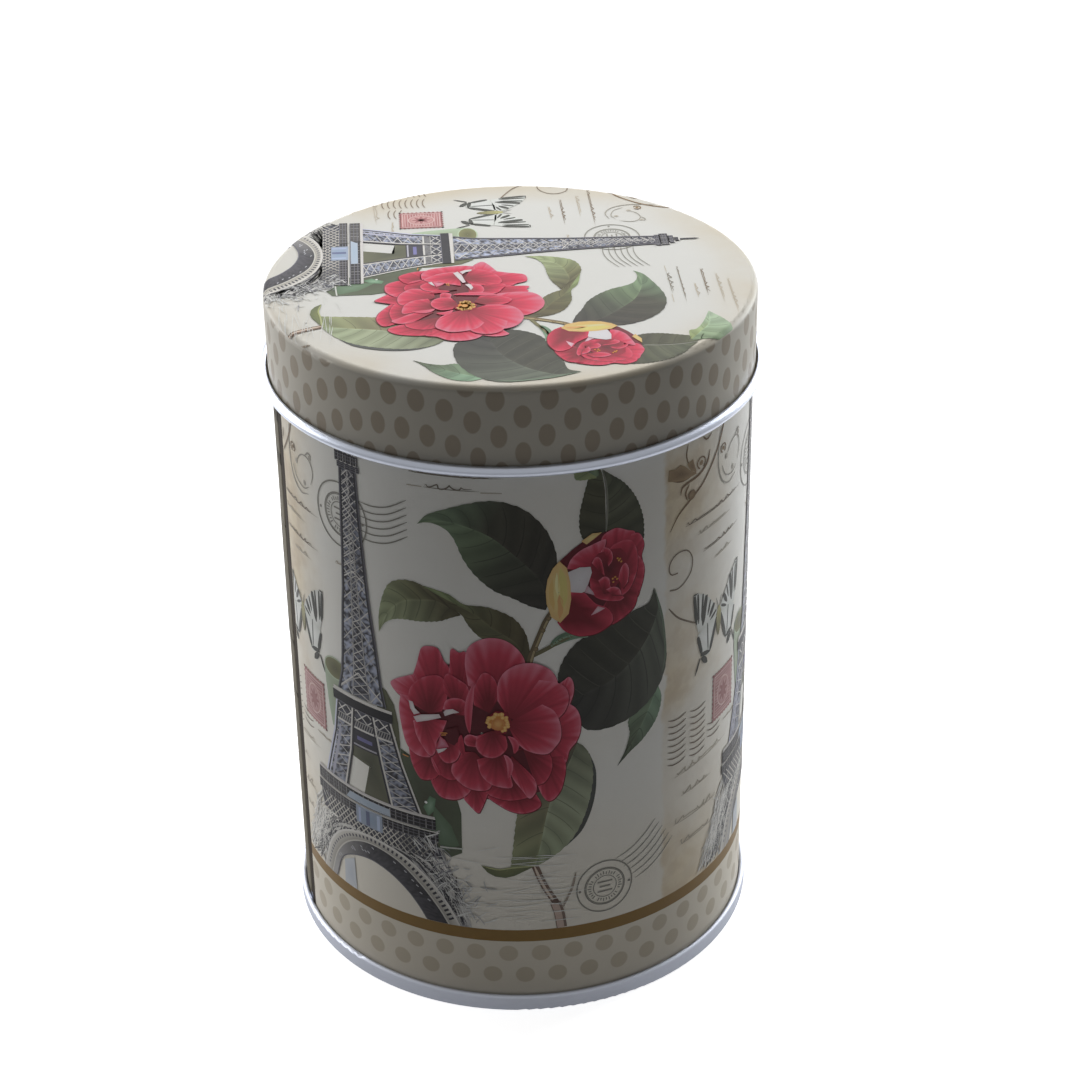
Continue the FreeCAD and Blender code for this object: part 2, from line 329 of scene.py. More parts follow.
def make_flower():
    """The full-blown flower: big fanned petals on the right, a broken heart on the left."""
    random = np.random.default_rng(11)
    ink = Ink()
    patch(ink, 20, [(-18, 60), (-13, 65), (-7, 66), (1, 64), (6.5, 58), (7, 50), (4, 43), (-3, 41),
                    (-11, 42), (-16.5, 47), (-18.6, 54)], WINE[0], WINE[0])
    back = (
        ((-12.4, 58), [(-16.8, 61.6), (-15.8, 64.6), (-15, 67.4), (-13.8, 68.1), (-12.2, 67.9),
                       (-11.4, 66), (-10.6, 64.8), (-9.6, 61)], 0.02),
        ((-9.2, 59), [(-11, 62), (-10.5, 65), (-10.2, 68.2), (-8.9, 67.7), (-7.8, 67.6), (-7, 61)], -0.02),
        ((-4, 60.5), [(-7.7, 62), (-8.1, 66), (-7.5, 68.8), (-5.6, 70.3), (-3.6, 70.7), (-1.6, 70.1),
                      (0.2, 68.3), (1, 66), (0.4, 62.6)], 0.12),
        ((-14.6, 58.6), [(-16.4, 62.5), (-18, 61.7), (-19.6, 60.8), (-20.6, 59.8), (-19.8, 58.6),
                         (-18.6, 57.8), (-16.6, 57)], 0.16),
        ((5.8, 58.4), [(5.8, 62), (6.8, 62.7), (7.6, 63.2), (8.2, 62), (8.2, 60), (7.4, 57.6)], 0.12),
        ((3.4, 53), [(6.8, 58.8), (8.4, 57.6), (9.2, 55.8), (9.3, 53.4), (8.7, 51.4), (7.5, 49.8),
                     (7, 47.8), (5.6, 46.4)], 0.06),
        ((3.4, 49), [(6.6, 49), (6.9, 46.8), (6.6, 44.4), (6, 42.4), (4.9, 41), (3.9, 40.9), (3, 42.4),
                     (2.2, 45)], -0.04),
        ((-1, 42.8), [(-5.6, 41.9), (-4, 40.6), (-1.9, 39.2), (0.2, 38.7), (2.2, 39.3), (3, 40.4),
                      (2.2, 42.4)], -0.14),
        ((-7.2, 44), [(-9.4, 42.6), (-9, 41), (-8, 39.7), (-6.8, 38.5), (-6.2, 39.4), (-5.6, 41),
                      (-5, 42.8)], 0.0),
        ((-11, 46), [(-14.6, 45), (-13.9, 42.4), (-12.8, 40.8), (-11, 40.5), (-9.4, 41), (-8, 42.4),
                     (-7.6, 44.4)], -0.04),
        ((-13.6, 49), [(-17.8, 48.6), (-17.4, 46), (-16.2, 43.6), (-15, 43.4), (-13.4, 44.2), (-12, 46.4)],
         -0.12),
        ((-13.6, 54), [(-18.8, 58.4), (-19.2, 55.6), (-18.9, 52.4), (-18.2, 49.4), (-17, 48),
                       (-15.4, 47.6), (-13.6, 48.2), (-12.4, 50)], 0.0),
    )
    front = (
        ((-2, 45.4), [(-6, 43.2), (-4.6, 41.9), (-2, 41.2), (0.6, 41.6), (2.2, 42.6), (2, 45)], -0.10),
        ((-11.4, 49.4), [(-14, 48.8), (-13.6, 46.6), (-12.2, 44.6), (-10.4, 44.3), (-9, 46)], -0.14),
        ((0.4, 50.8), [(2.2, 43.9), (3.6, 44.4), (4.6, 46.2), (4.8, 48.2), (4.2, 49.8), (2.6, 50.6),
                       (0.4, 50.9), (-1.2, 50.3)], -0.10),
        ((-7, 50), [(-9.2, 49.8), (-10.4, 47.8), (-10.8, 45.8), (-9.8, 44.2), (-8.3, 43.1), (-6.4, 42.8),
                    (-4.8, 43.4), (-4, 46)], 0.02),
        ((-3.6, 50), [(-6.7, 48.6), (-6.2, 46), (-5, 44.4), (-3.4, 43.7), (-1.4, 43.7), (-1.6, 46),
                      (-1.4, 49)], -0.06),
        ((-1.4, 49.6), [(-1.9, 47.6), (-1.2, 45.2), (0.2, 43), (1.2, 41.5), (2.2, 42.6), (2.3, 44.4),
                        (1.4, 46.2), (0, 47.8)], 0.02),
        ((-15, 55), [(-16.8, 54), (-16.4, 51.6), (-15.4, 49.6), (-14.2, 48.1), (-13.3, 49), (-13, 51),
                     (-12, 53), (-11.2, 55.2)], 0.10),
        ((-11, 51.6), [(-13.2, 50.6), (-12.8, 48.6), (-11.6, 47.3), (-10, 48), (-9.2, 49.8), (-9, 51.4)],
         0.0),
        ((-14, 56), [(-17.5, 57.4), (-17.2, 59.6), (-15.9, 61.5), (-14, 62.8), (-12, 63.1), (-11, 61.4),
                     (-11.2, 58.6), (-12, 56.8)], -0.02),
        ((-9.4, 58), [(-11.5, 60.4), (-11.5, 62.6), (-10.8, 63.8), (-9.2, 63), (-7.8, 61.9), (-7.4, 59.4)],
         -0.02),
        ((-9.6, 56.6), [(-11.8, 57.2), (-11.3, 58.8), (-10, 59.5), (-8.6, 59.4), (-7.8, 58.2), (-8.2, 56.6)],
         0.04),
        ((-4.6, 57.4), [(-6.9, 58.6), (-7, 61), (-6.4, 62.8), (-5.2, 64.6), (-3.6, 63.4), (-3, 60.4)], -0.16),
        ((-1.6, 56.4), [(-3.3, 59.6), (-3.2, 62.6), (-2.2, 64.7), (-0.4, 66), (2, 66.3), (4.2, 65.3),
                        (5.4, 63.8), (5.8, 61.4), (4.6, 57.6)], 0.08),
        ((-1.4, 56.4), [(3, 63.2), (5.4, 62.6), (7, 61.4), (7.5, 59.4), (7, 57.4), (5.8, 56), (3.6, 54.8)],
         0.08),
        ((-2, 55.6), [(3.4, 58.8), (5.2, 57.4), (6.1, 55), (6.2, 52.4), (5.3, 50.8), (4.2, 49.7),
                      (2.6, 49.8), (0.8, 50.6), (-0.6, 52)], 0.04),
        ((-6.6, 51.6), [(-5.2, 53.4), (-6.6, 53), (-7.8, 53.2), (-8.6, 52.4), (-8.4, 51.2), (-7.2, 51),
                        (-6, 51)], 0.10),
        ((-4.2, 54.2), [(-6.6, 53), (-6.8, 51), (-5.8, 49.5), (-4.3, 49.1), (-2.9, 49.8), (-2, 51.2),
                        (-2.2, 53.2)], -0.04),
    )
    layer = 21
    for root, rim, light in back + front:
        petal(ink, random, layer, root, rim, light)
        layer += 1
    slivers = (([(-6.8, 62.4), (-8.2, 58), (-7.7, 53.4)], 0.62, 0.62),
               ([(-2.6, 49.8), (-1, 48.4), (-2, 45.4)], 0.5, 0.7),
               ([(-1.9, 53.2), (-0.1, 52), (-1, 50)], 0.55, 0.6),
               ([(-9, 53), (-9.4, 51), (-8.6, 49)], 0.5, 0.35),
               ([(-14, 48), (-13.4, 46), (-12.6, 44.8)], 0.3, 0.6))
    for spine, width, tone in slivers:
        Blade(spine, width, base=0.7, point=0.7).fill(
            ink, lambda t, s: three_tone(CRIMSON, tone + 0.2 * np.abs(s) - 0.2 * t), layer + 2)
    patch(ink, layer + 1, [(-11.4, 53.6), (-9.6, 54.4), (-9.2, 52.2), (-10.2, 50.8), (-11.4, 51.4)],
          WINE[0], WINE[0])
    for start, end in (((-12.4, 52.8), (-11.2, 52.9)), ((-12.2, 52.4), (-11.4, 52.6)),
                       ((-18.9, 47.2), (-17.9, 47))):
        ink.line(start, end, 0.2, srgb(214, 142, 84), layer + 3)
    for outline in ([(-17.4, 57.6), (-16.7, 57.5), (-16.4, 56.4), (-15.6, 55.7), (-16.6, 55.2),
                     (-17.2, 56.2)],
                    [(-16.7, 54.8), (-15.4, 55.5), (-12.4, 56.2), (-12.1, 55.6), (-14.4, 54.6),
                     (-16.2, 53.9)],
                    [(-11.7, 56.7), (-11.3, 57.2), (-10.2, 57.5), (-9.2, 57), (-10.2, 56.7), (-11.5, 56)],
                    [(-13.1, 49.6), (-11.3, 50.2), (-11.9, 49.5), (-12.8, 48.9)]):
        patch(ink, layer + 3, outline, PALE, srgb(214, 196, 200))
    patch(ink, layer + 2, [(-13, 49.8), (-12.4, 52.2), (-11.6, 51.6), (-11, 50.4)], srgb(206, 146, 162),
          srgb(188, 88, 108))
    patch(ink, layer + 1, [(-4.9, 56.6), (-3.6, 57.8), (-1.8, 57.6), (-1.2, 55.8), (-2.2, 53.6),
                           (-3.6, 53.4)], srgb(150, 40, 50), srgb(120, 28, 40))
    heart = np.array([-3.3, 55.5])
    ink.disc((-3.3, 55.4), (1.3, 1.2), (srgb(226, 176, 112), srgb(196, 120, 66)), layer + 3)
    for angle in np.radians(np.arange(-64, 215, 15)):
        way = direction(angle)
        reach = random.uniform(1.25, 1.75)
        ink.line(heart + way * 0.6, heart + way * reach, 0.5, srgb(204, 138, 66), layer + 3)
        ink.disc(heart + way * reach, random.uniform(0.28, 0.42),
                 (srgb(240, 204, 136), srgb(224, 166, 96)), layer + 4, steps=8)
    return ink


def make_bud():
    """The closed flower: outer petals around a dark hollow, a broad lower petal and a yellow sepal."""
    random = np.random.default_rng(5)
    ink = Ink()
    patch(ink, 12, [(6.4, 83.5), (8.2, 85.1), (9.8, 86.2), (12.8, 87.1), (15, 87.5), (17, 86.6),
                    (19, 85.6), (19.8, 83.6), (19.4, 81.9), (19.9, 79.2), (19.7, 77.5), (19.2, 75.9),
                    (18.3, 73.4), (17, 72.2), (14.6, 71), (11.7, 70), (8.8, 70.3), (6.9, 71.5),
                    (5.9, 72.9)], WINE[0], WINE[0] * 1.2)
    heart = (14.8, 80)
    wraps = (
        (heart, [(12.4, 84.6), (12.9, 86.5), (14.2, 87.3), (15.4, 87.4), (17, 86.6), (18.2, 86),
                 (18, 84.4)], -0.10),
        (heart, [(17.6, 85.8), (19, 85.5), (19.8, 83.6), (19.4, 81.9), (19.2, 80.6), (18, 80)], -0.17),
        (heart, [(18.8, 81.8), (19.6, 80.6), (19.9, 79.2), (19.7, 77.5), (19.2, 75.9), (18.6, 74.6),
                 (16.6, 74)], -0.14),
        ((14.6, 77), [(18.9, 76), (18.3, 73.4), (17, 72.2), (14.6, 71.1), (12.6, 71.6), (12.6, 74)], -0.22),
        ((15.6, 79), [(13.9, 83.9), (14.6, 84.7), (16.3, 85.1), (17.6, 84.7), (18.4, 83.4), (18.7, 81.6),
                      (18.6, 79.4), (18, 77.6), (17.2, 76.3), (16, 75.6)], -0.05),
        ((12.6, 81), [(7.4, 82), (8, 83.5), (9.3, 84.7), (11, 85.4), (13.4, 86), (13, 84.6), (12.2, 83.6)],
         0.15),
    )
    layer = 13
    for root, rim, light in wraps:
        petal(ink, random, layer, root, rim, light, streaks=7)
        layer += 1
    patch(ink, layer + 1, [(11.1, 82.6), (12.2, 83.8), (13.9, 84.1), (15.8, 83.9), (16.7, 82.8),
                           (17, 81.2), (16.4, 80.8), (15.6, 78.2), (13.6, 76.4), (11.8, 77.4),
                           (10.8, 79.4)], WINE[0] * 0.9, blend(*CRIMSON[:2], np.array(0.25)))
    layer += 2
    folds = (
        ((13.6, 82.4), [(12.9, 84.8), (13.9, 84.3), (14.5, 83.2), (14.4, 82), (13.8, 81.3)], 0.00),
        ((12.6, 80.4), [(11.2, 82.4), (11.8, 83.3), (12.6, 82.8), (13, 81.2), (13.2, 79.8)], -0.04),
        ((15, 77.4), [(10.9, 80), (11, 78), (11.8, 76.4), (13.6, 75.4), (15.6, 74.9), (16.4, 75.2)], -0.12),
        ((13, 76.8), [(12.2, 79.2), (13.2, 79.7), (14, 79), (14.1, 77.8), (14.8, 77)], -0.04),
        ((16.2, 76.8), [(15.4, 78.8), (15.8, 80.4), (16.6, 81.2), (17.2, 79.8), (17, 77.8)], 0.16),
        ((14.4, 76.2), [(13.4, 77.4), (14.6, 77.6), (15.6, 77), (16, 75.8)], 0.06),
        ((6.4, 75.8), [(7.9, 78.2), (9.9, 77.6), (10.9, 76.4), (11.9, 75.2), (13.4, 74.3), (14.4, 72.9),
                       (14.4, 71.4), (12.6, 70.3), (10.8, 70), (8.8, 70.3), (6.9, 71.5), (5.9, 72.9)],
         -0.18),
    )
    for root, rim, light in folds:
        petal(ink, random, layer, root, rim, light, streaks=5)
        layer += 1
    for spot in ((15.3, 82.3), (15.7, 82.1), (15.9, 81.6), (15.5, 81.9), (14.5, 79), (14.9, 79.2),
                 (14.6, 78.4), (15.2, 78.8)):
        ink.disc(spot, 0.2, (srgb(236, 186, 104), srgb(176, 104, 56)), layer + 2, steps=7)
    patch(ink, layer + 1, [(7.4, 81.4), (9.3, 82), (11, 81.8), (11.2, 80.8), (10.7, 79.2), (10.3, 77.8),
                           (9.6, 77.6), (7.5, 78.1)], srgb(222, 220, 222), srgb(212, 206, 208))
    patch(ink, layer + 1, [(10, 77.6), (10.5, 78.8), (11.4, 77.4), (11.6, 76.8)], srgb(206, 190, 196),
          srgb(186, 140, 152))
    patch(ink, layer + 1, [(11, 73.4), (12.1, 74.8), (13.3, 74.2), (12.2, 73.7)], srgb(222, 204, 208),
          srgb(206, 150, 164))
    patch(ink, layer + 2, [(6.3, 83.5), (7.4, 82.2), (7.9, 79.6), (8, 76.8), (7.6, 74.3), (6.3, 72.9),
                           (5, 74), (4.3, 76.4), (4.2, 78.6), (4.5, 80.6), (5.3, 82.4)],
          srgb(230, 218, 150), srgb(222, 186, 128))
    for path, width, shade in (([(6.4, 82.4), (6.9, 79), (6.8, 75.4)], 1.1, srgb(216, 202, 128)),
                               ([(5.2, 80.6), (5, 78), (5.4, 75.2)], 0.7, srgb(222, 188, 122)),
                               ([(6.2, 77.8), (6.4, 75.6), (6.2, 73.6)], 0.8, srgb(220, 172, 118)),
                               ([(5.9, 81.6), (5.8, 79.4), (6, 77.6)], 0.4, srgb(236, 228, 172))):
        ink.curve(path, width, shade, layer + 3, (0.05, 0.05))
    patch(ink, layer + 2, [(9.6, 86.4), (11.3, 87.4), (12.8, 87.3), (11.7, 86.5), (10.4, 85.7)],
          srgb(228, 212, 146), srgb(214, 178, 124))
    return ink


def paced(path, count):
    """The same path with a set number of even steps."""
    places = np.linspace(0, len(path) - 1, count)
    return np.stack([np.interp(places, np.arange(len(path)), path[:, k]) for k in (0, 1)], axis=1)


def half_leaf(ink, rib, edge, tones, layer, veins=6, lean=0.13, rim=0.0, vein_tone=0.72):
    """Half of a leaf between its rib and its toothed edge, both given from stalk to tip.

    tones runs from stalk to tip, rim lightens the edge, lean is how far veins climb towards the tip.
    """
    count = 72
    rib, edge = paced(spline(rib, 0.3), count), paced(spline(edge, 0.3), count)
    t = np.linspace(0, 1, count)
    out = edge - rib
    reach = np.maximum(np.hypot(*out.T), 1e-6)[:, None]
    teeth = 0.16 * (t * 18 % 1)[:, None] * np.minimum(reach / 3, 1)
    edge = edge + out / reach * teeth
    share = np.linspace(0, 1, 12)[None, :]
    points = rib[:, None] + (edge - rib)[:, None] * share[..., None]
    place = np.linspace(0, 1, len(tones))
    colour = np.stack([np.interp(t, place, np.array(tones)[:, k]) for k in range(3)], 1)[:, None, :]
    fold = 1 + 0.16 * np.cos(2 * math.pi * veins * (t[:, None] - lean * share))
    colour = colour * (fold + rim * share ** 3 + 0.25 * np.clip(1 - share / 0.08, 0, 1))[..., None]
    ink.grid(points, np.clip(colour, 0, 0.9), layer)
    across = np.linspace(0, 0.9, 9)
    for number in range(veins):
        along = 0.06 + 0.80 * (number + 0.3) / veins + lean * across ** 1.3
        if along.max() > 0.98:
            continue
        path = np.stack([np.interp(along, t, rib[:, k]) * (1 - across)
                         + np.interp(along, t, edge[:, k]) * across for k in (0, 1)], 1)
        tone = np.stack([np.interp(along, place, np.array(tones)[:, k]) for k in range(3)], 1)
        ink.stroke(path, 0.17, np.clip(tone * vein_tone, 0, 1), layer + 1, (1.0, 0.2))


def shades(*values):
    return [srgb(*value) for value in values]


def make_leaves():
    """The leaves, stems and the cut twig around the flowers."""
    ink = Ink()
    bark = srgb(104, 92, 70)
    # the dark leaf that points up and left
    rib = [(4.0, 75.3), (3.9, 79.2), (2.5, 81.8), (0, 84.6), (-3.5, 87.8), (-7, 89.4), (-10, 90),
           (-13, 89.8), (-14.8, 88.9)]
    half_leaf(ink, rib, [(4.2, 75.3), (5.2, 78), (5.8, 81), (5.9, 83.8), (5.4, 86.4), (4, 89.4),
                         (1.5, 92.2), (-1.5, 93.6), (-4.4, 93.8), (-7.4, 93.1), (-10.4, 92), (-13.2, 90.7),
                         (-14.8, 88.9)],
              shades((50, 48, 44), (54, 52, 46), (58, 56, 48), (66, 66, 56), (98, 112, 92),
                     (112, 128, 104)), 5, 8)
    half_leaf(ink, rib, [(4.0, 75.3), (1.8, 76.2), (-0.6, 77.6), (-3.4, 78.9), (-6, 81.3), (-7.8, 84),
                         (-9, 87), (-10.2, 88.6), (-12, 89.4), (-13.6, 89.4), (-14.8, 88.9)],
              shades((52, 50, 46), (58, 58, 50), (70, 74, 62), (96, 108, 86), (112, 128, 104),
                     (116, 130, 104)), 5, 7, rim=0.05)
    # the curled olive pair beside it
    rib = [(-8.6, 74.3), (-12, 76.2), (-14.8, 76), (-17.5, 75.2), (-19.4, 73.6), (-21, 71.4), (-22.3, 68.3)]
    near_rib = [(1.5, 66.2), (-0.6, 70), (-3.6, 72.2), (-5.8, 74.2), (-8, 75.5), (-10.5, 76.7), (-14.2, 78.3)]
    half_leaf(ink, near_rib,
              [(1.7, 66.2), (1.6, 69), (1, 71.6), (-0.6, 74), (-3, 75.4), (-5, 76), (-8, 76.2),
               (-10, 77.5), (-12, 78.1), (-14.2, 78.5)],
              shades((72, 70, 52), (82, 76, 56), (86, 82, 60), (94, 94, 70), (124, 134, 98),
                     (134, 146, 108)), 5, 5)
    half_leaf(ink, near_rib,
              [(1.2, 66), (-2, 68), (-5, 70.2), (-6.4, 71.4), (-7.6, 73), (-8.4, 74.4), (-10.4, 75.8),
               (-14.2, 78.1)],
              shades((72, 70, 52), (88, 84, 62), (98, 98, 74), (96, 94, 70), (90, 86, 64), (126, 136, 100)),
              5, 4)
    half_leaf(ink, rib, [(-8.6, 74.5), (-11, 76.6), (-13.4, 78), (-15.6, 78.8), (-18, 78.6), (-20, 77.4),
                         (-21.3, 74.8), (-22.1, 71.6), (-22.3, 68.3)],
              shades((72, 68, 50), (84, 80, 60), (106, 106, 80), (130, 136, 106), (142, 150, 118),
                     (138, 146, 112)), 7, 6, rim=0.08)
    half_leaf(ink, rib, [(-8.4, 74.3), (-10.2, 73.6), (-12, 72.8), (-15, 72.2), (-17.5, 72), (-19.6, 71.4),
                         (-21.2, 70.2), (-22.3, 68.3)],
              shades((74, 70, 52), (96, 94, 72), (118, 122, 96), (136, 142, 112), (150, 158, 126),
                     (146, 154, 120)), 7, 6)
    # behind the bud
    rib = [(13.4, 85.6), (13.4, 88), (13.4, 91), (13.2, 95), (12.2, 98.4), (8.5, 100.8)]
    half_leaf(ink, rib, [(10.4, 85.6), (9.5, 88), (9.5, 91), (10.2, 94.2), (10.8, 97.2), (9.8, 99.6),
                         (8.5, 100.8)],
              shades((62, 62, 50), (70, 70, 56), (76, 76, 60), (84, 88, 68), (92, 98, 76)), 4, 5)
    half_leaf(ink, [(13.4, 84.6), (13.6, 88), (13.7, 91), (13.6, 94.4), (13.0, 97.6)],
              [(19.8, 84.4), (19.6, 88), (18.4, 91.6), (16.4, 94.6), (14.4, 96.4), (13.0, 97.6)],
              shades((64, 64, 52), (74, 76, 60), (88, 90, 74), (80, 84, 68), (90, 92, 76)), 3, 5, rim=-0.2)
    midrib = spline([(13.5, 87.4), (13.7, 91), (13.5, 95), (12.9, 97.6)], 0.3)
    ink.stroke(paced(midrib, 16), 0.34, srgb(122, 122, 112), 6, (0.6, 0.3))
    rib = [(12.0, 96.6), (9.4, 98.6), (6.4, 100.6), (2.0, 101.2)]
    half_leaf(ink, rib,
              [(12.4, 96.8), (11.4, 102.4), (8.6, 104.8), (5.2, 103.6), (2.0, 101.2)],
              shades((108, 122, 98), (134, 150, 122), (150, 166, 142), (158, 172, 150)), 5, 4)
    half_leaf(ink, rib,
              [(12.0, 96.4), (9.0, 96.6), (8.4, 98.0), (6.0, 99.6), (2.0, 101.2)],
              shades((132, 140, 100), (144, 156, 118), (146, 162, 136), (154, 170, 148)), 5, 3)
    # the large dark leaf: a black upper half, a greyer lower half and a pale turned edge
    ink.curve([(21.8, 75.2), (22.5, 72.6), (23.3, 69.6), (23.8, 66), (24.0, 62.4), (23.4, 59.6)], 0.4,
              srgb(108, 120, 104), 10, (0.1, 0.1))
    rib = [(7.8, 58.4), (10.4, 59.8), (14, 61), (17, 63), (19.6, 65.6), (21.4, 68.4), (22.5, 71.6),
           (21.7, 75.2)]
    half_leaf(ink, rib, [(7.6, 58.6), (6.2, 61.4), (6, 64), (7.2, 67), (9.2, 69.2), (12, 70.5), (15, 71.6),
                         (18.4, 72.4), (20.8, 73), (21.7, 75.2)],
              shades((51, 51, 46), (55, 55, 48), (57, 57, 49), (59, 59, 50), (61, 62, 53), (76, 79, 67)), 7,
              7, 0.10, vein_tone=1.6)
    half_leaf(ink, rib, [(7.8, 58.2), (8.6, 55.6), (10.2, 53.2), (13, 52.6), (16.2, 53), (19, 54.1),
                         (21.6, 56), (23.5, 58.8), (24.2, 62), (23.9, 66), (23, 70), (21.7, 75.2)],
              shades((50, 49, 46), (58, 58, 53), (72, 74, 66), (88, 92, 82), (92, 98, 86), (94, 104, 90)),
              7, 7, -0.12, vein_tone=0.66)
    # the fresh leaf under it
    rib = [(22.6, 57.6), (20.8, 53.6), (18.8, 50), (17, 47.4), (15.3, 45)]
    half_leaf(ink, rib, [(22.6, 57.6), (23.3, 55), (22.4, 51.6), (19.9, 48.7), (17.5, 47), (15.3, 45)],
              shades((128, 152, 128), (120, 142, 120), (104, 120, 100), (88, 98, 80), (70, 72, 60)), 5, 4)
    half_leaf(ink, rib, [(20.4, 56.0), (17.4, 53.2), (17.5, 50.4), (16.8, 47.8), (16, 46.2), (15.3, 45)],
              shades((116, 136, 112), (110, 126, 104), (96, 108, 88), (80, 88, 70), (66, 68, 56)), 5, 4)
    # the broad grey-green leaf under the flower, its shaded edge and its curled tip
    rib = [(8.8, 51), (7, 46.5), (4.9, 42), (3.8, 38), (2.9, 33), (1.9, 28.3)]
    ink.curve([(10.6, 48.6), (11.3, 45.6), (11.3, 41.6), (10.5, 37.8), (9.0, 34.4), (6.8, 31.8)], 0.8,
              srgb(74, 76, 72), 6, (0.2, 0.2))
    half_leaf(ink, rib, [(8.8, 51), (9.9, 49.9), (10.9, 47.6), (11.2, 44.5), (10.9, 41.5), (10.0, 37.8),
                         (8.6, 34.4), (6.5, 31.6), (4, 29.6), (1.9, 28.3)],
              shades((102, 106, 88), (122, 126, 106), (138, 144, 122), (144, 150, 126), (142, 150, 124),
                     (132, 140, 114)), 7, 7, rim=0.06, vein_tone=0.7)
    half_leaf(ink, rib, [(8.6, 51), (4, 46), (0.6, 42), (-0.6, 38.6), (-1.1, 35), (-1.4, 32), (-1.7, 29.5),
                         (-1.9, 28)],
              shades((84, 82, 66), (92, 88, 72), (104, 98, 80), (118, 116, 92), (126, 128, 100),
                     (128, 134, 104)), 7, 4, rim=0.16)
    patch(ink, 8, [(-6.6, 28.4), (-5.2, 28.2), (-3.6, 27.7), (-2.4, 28.1), (-0.6, 28.4), (2, 28.5),
                   (0.2, 27.5), (-1.4, 26.6), (-2.8, 26.2), (-4.4, 26.4), (-5.6, 27.1)], srgb(112, 116, 80),
          srgb(92, 98, 72))
    ink.curve([(-6.4, 28.3), (-3.8, 27.8), (-1.6, 28.2), (1.9, 28.5)], 0.3, srgb(160, 164, 122), 9,
              (0.3, 0.5))
    shade, moss = srgb(70, 72, 58), srgb(106, 124, 104)
    patch(ink, 3, [(-19.4, 48), (-16, 46.4), (-10.4, 42), (-9.5, 38), (-9.6, 30.4), (-11.6, 29.2),
                   (-16, 33), (-19.6, 38)], shade, srgb(84, 92, 74))
    patch(ink, 4, [(-13.9, 38.6), (-11.2, 35.4), (-10, 31.8), (-12.4, 30.4), (-14.6, 33.4)], moss,
          srgb(88, 106, 84))
    patch(ink, 5, [(-15.8, 38.0), (-14.6, 40.4), (-13.6, 40), (-14, 37.6), (-15, 36.4)], srgb(134, 160, 136),
          srgb(90, 116, 92))
    ink.disc((-15.3, 39.0), 0.26, (PALE, PALE), 6, steps=8)
    patch(ink, 3, [(-29.6, 48), (-23.4, 48), (-22.4, 40), (-21.4, 36), (-27.2, 36), (-25.6, 42.7),
                   (-29.4, 42.9)], shade, srgb(98, 98, 80))
    # the rolled leaf behind the shaft: pale outside, a brown opening, and its dark end on the other side
    patch(ink, 3, [(-33.9, 46.4), (-34.6, 50), (-35.1, 54), (-35.3, 57.2), (-34.6, 58.6), (-30.6, 59.2),
                   (-30.6, 46.4)], srgb(150, 158, 136), srgb(166, 180, 158))
    ink.disc((-32.4, 57.6), (2.7, 1.9), (srgb(92, 90, 66), srgb(122, 122, 90)), 4, steps=24)
    ink.arc((-32.4, 57.6), (2.7, 1.9), 60, 300, 0.24, srgb(176, 188, 164), 5)
    patch(ink, 3, [(-23.4, 58.8), (-21.6, 58), (-20.2, 55.8), (-19.6, 52.6), (-19.4, 48.6), (-19.6, 46.4),
                   (-23.4, 46.4)], srgb(84, 84, 66), srgb(96, 98, 76))
    stem = spline([(1.3, 64.4), (1.9, 67.4), (3.0, 70.4), (4.1, 73.2), (5.2, 75.0)])
    ink.stroke(stem, 0.95, bark, 10)
    ink.stroke(stem + [0.22, 0.06], 0.32, srgb(164, 150, 118), 11)
    ink.curve([(2.0, 67.4), (4.0, 68.4), (6.4, 69.7), (8.4, 70.6)], 0.7, srgb(108, 104, 78), 9)
    leaf(ink, [(4.8, 68.8), (6.6, 70.6), (8.4, 70.8), (10.6, 69.7)], 0.8, srgb(86, 108, 88),
         srgb(156, 182, 156), 8, 2)
    for spot in ((2.6, 68.6), (3.7, 71.8), (4.6, 73.8)):
        ink.disc(spot, 0.42, (srgb(140, 122, 92), bark), 12, steps=9)
    # the cut twig and its fork
    twig = spline([(1.9, 28.4), (2.7, 26), (3.6, 23.8), (5.0, 21.2)])
    ink.stroke(twig, 1.15, srgb(112, 94, 82), 10)
    ink.stroke(twig - [0.1, 0.04], 0.4, srgb(206, 190, 174), 11, (0.4, 0.4))
    trunk = spline([(5.0, 21.0), (5.6, 18.8), (6.0, LINE_HIGH + 0.1)])
    ink.stroke(trunk, 1.7, srgb(122, 106, 96), 9)
    ink.stroke(trunk - [0.15, 0], 1.1, srgb(188, 168, 156), 10)
    ink.disc((5.0, 21.2), (0.6, 0.5), (srgb(104, 86, 76), srgb(92, 76, 66)), 12, steps=9)
    ink.curve([(6.2, 20.0), (7.2, 22.2), (7.8, 23.8), (8.4, 26.4)], 0.4, srgb(150, 140, 128), 10, (1.0, 0.3))
    return ink


# ---- tower --------------------------------------------------------------------------------

IRON_DARK = srgb(50, 49, 54)
IRON = srgb(104, 103, 110)
IRON_BLUE = srgb(170, 176, 194)
GIRDER = srgb(210, 207, 202)
WINDOW = srgb(158, 172, 186)
HAZE = srgb(223, 221, 215)


def straight(*knots):
    """A function that runs straight between (height, value) knots."""
    heights, values = zip(*knots)
    return lambda height: np.interp(height, heights, values)


